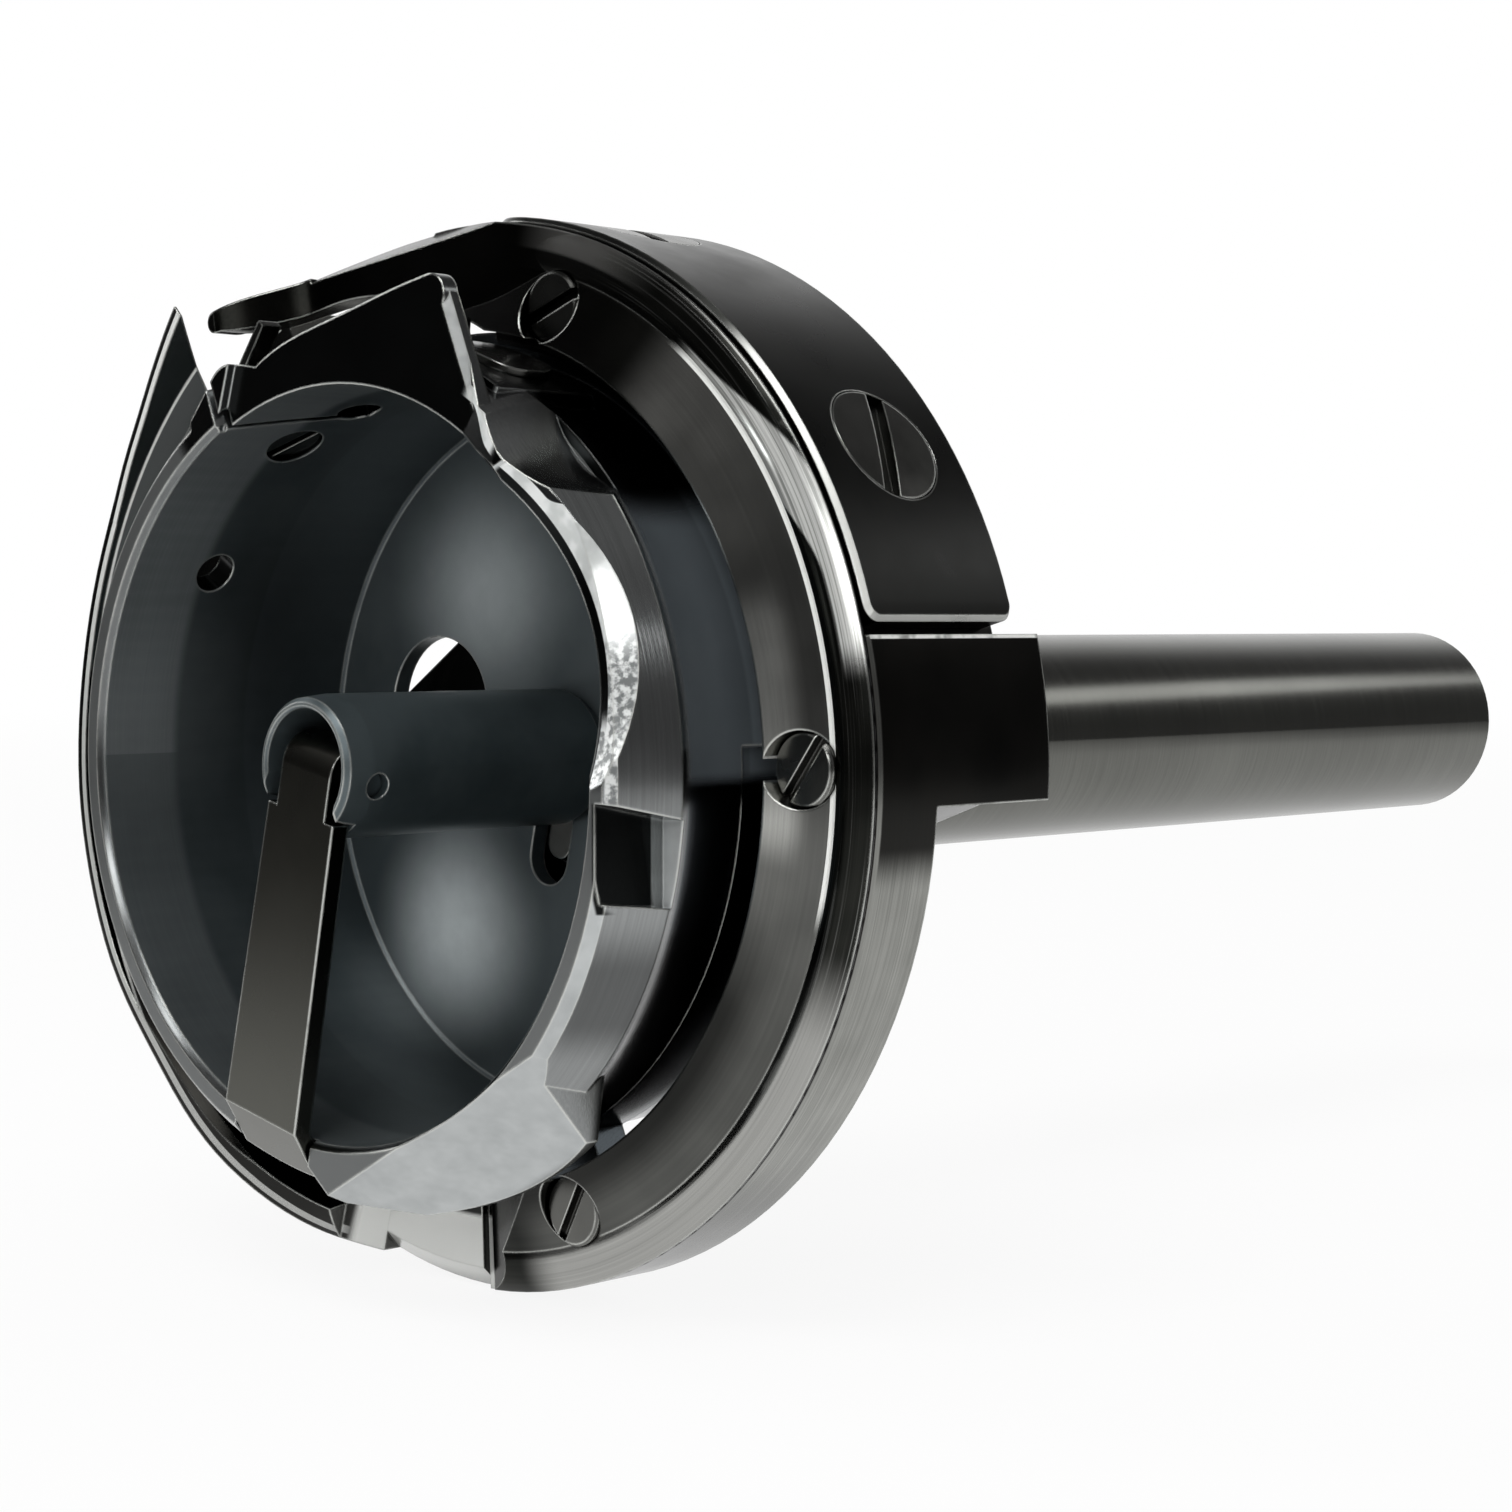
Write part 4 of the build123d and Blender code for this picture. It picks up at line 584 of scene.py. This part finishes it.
def case_steel():
    """Case base: black polished horn, bright facets, slate satin inside, dark satin outside; the
    black and the bright are painted reflection, with painted pools of light and shade inside the
    cup.
    """
    net = Net("case_steel")
    radius, y, angle = net.around_axis()
    x, z = net.split(net.place)[::2]
    along = net.facing_front()
    out = net.facing_out()
    lines = net.turned(radius, y, angle, fine=10.0, along=1.0)
    cloud = net.noise(net.place, 120.0, 4.0)
    fine = net.noise(net.place, 900.0, 2.0)
    pits = net.noise(net.place, 3200.0)

    # faces
    inside = net.product(
        net.span(radius, *CUP_WALL_RAMP, smooth=False), net.above(y, MOUTH_Y, 0.2)
    )
    ahead = net.below(y, AHEAD_Y, 0.5)
    front = net.product(net.below(along, -0.9625, 0.0225), ahead)
    tilted = net.product(net.below(along, -0.36, 0.06), ahead)
    horn = net.product(front, net.band(angle, HORN, 0.06))
    mouth = net.product(tilted, net.below(out, -0.3, 0.1))
    facet = net.product(tilted, net.below(angle, FACET_TOP, 0.05))
    flank = net.product(
        net.band(angle, FLANK, 0.02), net.band(along, FLANK_FACING, 0.02),
        net.below(y, FLANK_Y, 0.1),
    )

    # positioning notch
    notch = net.product(
        net.band(z, NOTCH_Z, 0.1 * MM), net.above(x, NOTCH_X[0], 0.05 * MM), ahead
    )
    notch_floor = net.product(
        notch, net.below(x, NOTCH_X[1], 0.05 * MM), net.below(y, NOTCH_BACK_Y, 0.05)
    )
    notch_back = net.product(
        notch, net.above(y, NOTCH_BACK_Y - 0.025, 0.075), net.below(along, -0.275, 0.125)
    )

    # dip in the mouth: a polished slope with a painted highlight, pitted at its foot, and a strip
    # inside it painted black as a dark reflection
    dip = net.product(
        net.band(angle, DIP, 0.03), net.above(y, DIP_Y, 0.04), ahead,
        net.below(along, -0.425, 0.075),
    )
    past_inner = net.math("SUBTRACT", radius, net.span(angle, *SLOPE_INNER_R))
    past_outer = net.math("SUBTRACT", past_inner, net.span(angle, *SLOPE_WIDTH))
    slope = net.either(
        net.product(dip, net.above(past_inner, -0.01, 0.03), net.below(past_outer, 0.03, 0.03)),
        net.product(dip, net.below(angle, 0.135, 0.035), net.above(radius, 15.05, 0.03)),
    )
    strip = net.product(dip, net.without(slope), net.below(angle, 0.94, 0.04))

    # back of the cup and the rib
    rib = net.above(y, RIB_Y, 0.1)
    rear = net.above(y, REAR_Y, 0.3)
    under_horn = net.below(angle, 0.67, 0.07)
    upper = net.product(under_horn, net.above(angle, -0.01, 0.02))
    beside = net.product(
        under_horn, net.above(angle, -0.35, 0.10), net.below(radius, 17.1, 0.2)
    )
    behind_horn_shade = net.product(net.band(angle, BEHIND_HORN, 0.14), net.above(out, -0.15, 0.15))

    # tones
    black = net.mix(cloud, *CASE_BLACK)
    bright = net.mix(fine, *CASE_BRIGHT)
    blue = net.mix(cloud, *CASE_BLUE)
    slope_highlight = net.mix(
        net.below(angle, 0.31, 0.05),
        net.mix(net.above(fine, 0.50, 0.10), *CASE_SLOPE_HIGHLIGHT),
        net.mix(net.above(pits, 0.51, 0.11), *CASE_PITTED_HIGHLIGHT),
    )
    # painted light and shade on the outside by angle, and painted shade behind the horn
    low_share = net.blend(
        net.below(angle, FACET_TOP - 0.15, 0.07), net.span(angle, *OUTER_LOW_SHADE_RAMP), 0.9
    )
    outer = net.scale(
        net.product(low_share, net.span(angle, *OUTER_HIGH_LIGHT_RAMP)), net.mix(lines, *CASE_OUTER)
    )
    outer = net.scale(net.blend(behind_horn_shade, 1.0, 0.3), outer)
    # painted pools of light and a painted shade inside the cup
    glow = net.spots(*LIGHT_POOLS)
    slate = net.mix(net.stretched(cloud), *CASE_SLATE)
    slate = net.scale(net.blend(net.spots(SHADE), 1.0, 0.35), slate)
    slate = net.mix(glow, slate, net.mix(fine, *CASE_PAINTED_SHEEN))
    # painted reflection: a tone for each kind of face, black, bright or highlight
    metal = net.mix(tilted, outer, bright)
    metal = net.mix(facet, metal, net.scale(net.span(x, *FACET_RAMP), bright))
    metal = net.mix(front, metal, net.mix(cloud, *CASE_LAND))
    metal = net.mix(mouth, metal, net.scale(0.32, bright))
    metal = net.mix(net.either(horn, notch_floor, strip), metal, black)
    metal = net.mix(net.either(slope, net.product(flank, 0.55)), metal, slope_highlight)
    metal = net.mix(notch_back, metal, net.scale(1.5, bright))
    # painted black under and beside the horn as shade, and the rib darker under it
    metal = net.mix(
        rear, metal, net.mix(net.either(upper, beside), black, net.scale(0.7, blue))
    )
    metal = net.mix(rib, metal, net.scale(net.blend(upper, 0.3, 1.0), blue))

    # where the surface scatters light instead of mirroring it
    matt = net.either(
        net.product(inside, net.blend(glow, 0.5, 0.85)),
        net.product(front, 0.5),
        net.product(net.either(rib, rear), upper, 0.6),
    )
    matt = net.either(
        net.product(matt, net.without(horn)),
        net.product(net.either(slope, net.product(flank, 0.4)), 0.75),
    )
    net.set(Metallic=net.without(matt))
    scooped = net.product(
        net.band(angle, SCOOPED, 0.05), net.above(radius, SCOOPED_R, 0.1),
        net.above(y, SCOOPED_Y, 0.1),
    )
    net.finish(
        net.mix(inside, metal, slate),
        net.blend(inside, net.uneven(cloud, 0.12, 0.24), 0.42),
        lines,
        wear_and_highlight=net.blend(scooped, 0.95, 0.10),
        width=0.16,
        corner_shade=0.7,
    )
    return net


def post_steel():
    """Centre post and latch pin: slate satin like the inside of the case."""
    net = Net("post_steel")
    cloud = net.noise(net.place, 150.0, 4.0)
    slate = net.mix(net.stretched(cloud), (0.056, 0.074, 0.080), (0.102, 0.126, 0.134))
    net.set(Metallic=0.6)
    net.finish(slate, net.uneven(cloud, 0.28, 0.40), cloud, wear_and_highlight=1.0, corner_shade=0.7)
    return net


LATCH_ROOT = (0.016, 0.0155, 0.0125), (0.034, 0.033, 0.027)
LATCH_FOOT = (0.075, 0.075, 0.066), (0.135, 0.135, 0.120)
LATCH_SHADE_FADE = (-3.0 * MM, -15.0 * MM)   # painted shade from root to painted light at the foot, down along z


def latch_steel():
    """Latch: warm dark steel, painted darker at its root and lighter towards its foot as painted
    shade and light, with bright edge lines.
    """
    net = Net("latch_steel")
    z = net.split(net.place)[2]
    cloud = net.noise(net.place, 160.0, 4.0)
    tone = net.mix(
        net.span(z, *LATCH_SHADE_FADE), net.mix(cloud, *LATCH_ROOT), net.mix(cloud, *LATCH_FOOT)
    )
    net.set(Metallic=1.0)
    net.finish(tone, net.uneven(cloud, 0.22, 0.34), cloud, wear_and_highlight=1.0, width=0.16)
    return net


SCREW_TONES = (0.06, 0.06, 0.056), (0.17, 0.17, 0.16)
TOP_SCREW_Z = 16.25 * MM       # the ring screw under the finger lies over this, in painted shade
TOP_SCREW_Y = -15.5 * MM


def screw_steel(name):
    """Small screws and springs: polished, with bright rims, and painted shade under the finger."""
    net = Net(name)
    y, z = net.split(net.place)[1:]
    cloud = net.noise(net.place, 300.0)
    # painted shade on what lies under the finger: darker tone and dimmer rims
    finger_shade = net.product(
        net.above(z, TOP_SCREW_Z, 0.75 * MM), net.below(y, TOP_SCREW_Y, 0.5 * MM)
    )
    out_of_shade = net.blend(finger_shade, 1.0, 0.25)
    net.set(Metallic=1.0)
    net.finish(
        net.scale(out_of_shade, net.mix(cloud, *SCREW_TONES)), net.uneven(cloud, 0.18, 0.30), cloud,
        wear_and_highlight=out_of_shade,
    )
    return net


def dress(node_name, net):
    node = nodes[node_name]
    node.data.materials.clear()
    node.data.materials.append(net.material)


ground = ground_steel()
hook = hook_steel()
ring = ring_steel()
plate = plate_steel()
case = case_steel()
post = post_steel()
latch = latch_steel()
screw = screw_steel("screw_steel")
spring = screw_steel("spring_steel")
for node_name, net, slot_name in (
    ("hook_shaft", ground, "ground_steel"),
    ("hook_body", hook, "hook_steel"),
    ("retaining_ring", ring, "hook_steel"),
    ("ring_screws", screw, "screw_steel"),
    ("guard_plate", plate, "plate_steel"),
    ("guard_screws", screw, "screw_steel"),
    ("bobbin_case_base", case, "case_steel"),
    ("centre_post", post, "case_steel"),
    ("latch_bar", latch, "latch_steel"),
    ("latch_pin", post, "case_steel"),
    ("latch_spring", spring, "spring_steel"),
    ("tension_spring", spring, "spring_steel"),
    ("fixing_screw", screw, "screw_steel"),
    ("adjusting_screw", screw, "screw_steel"),
):
    dress(node_name, net)

# ---------------------------------------------------------------- studio
WHITE = (1.0, 1.0, 1.0, 1.0)
ROOM = (0.11, 0.11, 0.11, 1.0)         # what polished steel mirrors away from the white sweep
FILL = (0.50, 0.50, 0.50, 1.0)         # soft light from all round
PAPER = (0.90, 0.90, 0.90, 1.0)
FLOOR_Z = -0.02185                     # just under the hook's lowest point, metres
FLOOR_HALF = 3.0                       # half its side
SHEET_NEAR, SHEET_FAR = 0.13, 0.30     # mirrored floor: white up to here, the room from there on
PAPER_FAR = 0.90                       # the shadow's part of the floor fades out to here
SHADOW_SHARE = 0.10                    # part of the floor's look that takes light and shadow
SWEEP_AZIMUTH = radians(43.307)        # the white sweep stands behind the object from this side
SWEEP_ELEVATION = radians(2.503)
SWEEP_EDGE = (0.55, 0.90)              # cosine to its middle, from the room's tone to white


def plain_shader(tree, kind, colour):
    node = tree.nodes.new(kind)
    node.inputs["Color"].default_value = colour
    return node.outputs[0]


def ray_masks(tree):
    """Masks of camera rays, and of mirrored or transmitted ones."""
    path = tree.nodes.new("ShaderNodeLightPath")
    either = tree.nodes.new("ShaderNodeMath")
    either.operation = "MAXIMUM"
    tree.links.new(path.outputs["Is Glossy Ray"], either.inputs[0])
    tree.links.new(path.outputs["Is Transmission Ray"], either.inputs[1])
    return path.outputs["Is Camera Ray"], either.outputs[0]


def ranged(tree, value, start, end, at_start=0.0, at_end=1.0):
    node = tree.nodes.new("ShaderNodeMapRange")
    node.interpolation_type = "SMOOTHSTEP"
    tree.links.new(value, node.inputs[0])
    for socket, number in zip(node.inputs[1:5], (start, end, at_start, at_end)):
        socket.default_value = number
    return node.outputs[0]


def mixed_shader(tree, share, first, second):
    node = tree.nodes.new("ShaderNodeMixShader")
    for socket, source in zip(node.inputs, (share, first, second)):
        tree.links.new(source, socket)
    return node.outputs[0]


def white_towards(tree, share, kind):
    """Emission or background that runs from the room's tone to white."""
    tone = tree.nodes.new("ShaderNodeMix")
    tone.data_type = "RGBA"
    tree.links.new(share, tone.inputs[0])
    tone.inputs[6].default_value = ROOM
    tone.inputs[7].default_value = WHITE
    glow = tree.nodes.new(kind)
    tree.links.new(tone.outputs[2], glow.inputs["Color"])
    return glow.outputs[0]


def floor_material():
    """White to the camera with a soft shadow, and a white sheet in the mirrored view."""
    material = bpy.data.materials.new("stage_white")
    material.use_nodes = True
    tree = material.node_tree
    tree.nodes.clear()
    output = tree.nodes.new("ShaderNodeOutputMaterial")
    paper = plain_shader(tree, "ShaderNodeBsdfDiffuse", PAPER)
    glow = plain_shader(tree, "ShaderNodeEmission", WHITE)
    camera_ray, mirror_ray = ray_masks(tree)
    place = tree.nodes.new("ShaderNodeTexCoord")
    reach = tree.nodes.new("ShaderNodeVectorMath")
    reach.operation = "LENGTH"
    tree.links.new(place.outputs["Object"], reach.inputs[0])
    distance = reach.outputs["Value"]
    shown = tree.nodes.new("ShaderNodeMath")
    shown.operation = "MULTIPLY"
    tree.links.new(camera_ray, shown.inputs[0])
    lit_share = ranged(tree, distance, 0.0, PAPER_FAR, 1.0 - SHADOW_SHARE, 1.0)
    tree.links.new(lit_share, shown.inputs[1])
    seen = mixed_shader(tree, shown.outputs[0], paper, glow)
    near = ranged(tree, distance, SHEET_FAR, SHEET_NEAR)
    sheet = white_towards(tree, near, "ShaderNodeEmission")
    tree.links.new(mixed_shader(tree, mirror_ray, seen, sheet), output.inputs[0])
    return material


def add_floor():
    low, high = -FLOOR_HALF, FLOOR_HALF
    corners = [(x, y, FLOOR_Z) for x, y in ((low, low), (high, low), (high, high), (low, high))]
    mesh = bpy.data.meshes.new("floor")
    mesh.from_pydata(corners, [], [(0, 1, 2, 3)])
    obj = bpy.data.objects.new("floor", mesh)
    bpy.context.scene.collection.objects.link(obj)
    obj.data.materials.append(floor_material())


def add_world():
    """White to the camera, even light on the object, and the sweep for mirrored rays."""
    world = bpy.data.worlds.new("world")
    bpy.context.scene.world = world
    world.use_nodes = True
    tree = world.node_tree
    tree.nodes.clear()
    output = tree.nodes.new("ShaderNodeOutputWorld")
    fill = plain_shader(tree, "ShaderNodeBackground", FILL)
    white = plain_shader(tree, "ShaderNodeBackground", WHITE)
    camera_ray, mirror_ray = ray_masks(tree)
    coords = tree.nodes.new("ShaderNodeTexCoord")
    behind = tree.nodes.new("ShaderNodeVectorMath")
    behind.operation = "DOT_PRODUCT"
    behind.inputs[1].default_value = heading(SWEEP_AZIMUTH, SWEEP_ELEVATION)
    tree.links.new(coords.outputs["Generated"], behind.inputs[0])
    share = ranged(tree, behind.outputs["Value"], *SWEEP_EDGE)
    sweep = white_towards(tree, share, "ShaderNodeBackground")
    unseen = mixed_shader(tree, mirror_ray, fill, sweep)
    tree.links.new(mixed_shader(tree, camera_ray, unseen, white), output.inputs[0])


def add_softbox(name, place, size, watts):
    """Area lamp that looks at the origin; place and size in metres."""
    lamp = bpy.data.lights.new(name, "AREA")
    lamp.shape = "RECTANGLE"
    lamp.size, lamp.size_y = size
    lamp.energy = watts
    softbox = bpy.data.objects.new(name, lamp)
    bpy.context.scene.collection.objects.link(softbox)
    aim = (-Vector(place)).to_track_quat("-Z", "Y")
    softbox.matrix_world = Matrix.Translation(place) @ aim.to_matrix().to_4x4()


add_floor()
add_world()
add_softbox("key_light", (0.10, -0.27, 0.43), (0.30, 0.22), 1.1)
add_softbox("stripe_light", (0.32, 0.44, 0.27), (0.40, 0.09), 0.27)
add_softbox("left_light", (-0.45, -0.15, 0.25), (0.15, 0.30), 0.4)
add_softbox("front_light", (0.22, -0.49, 0.21), (0.22, 0.14), 0.5)
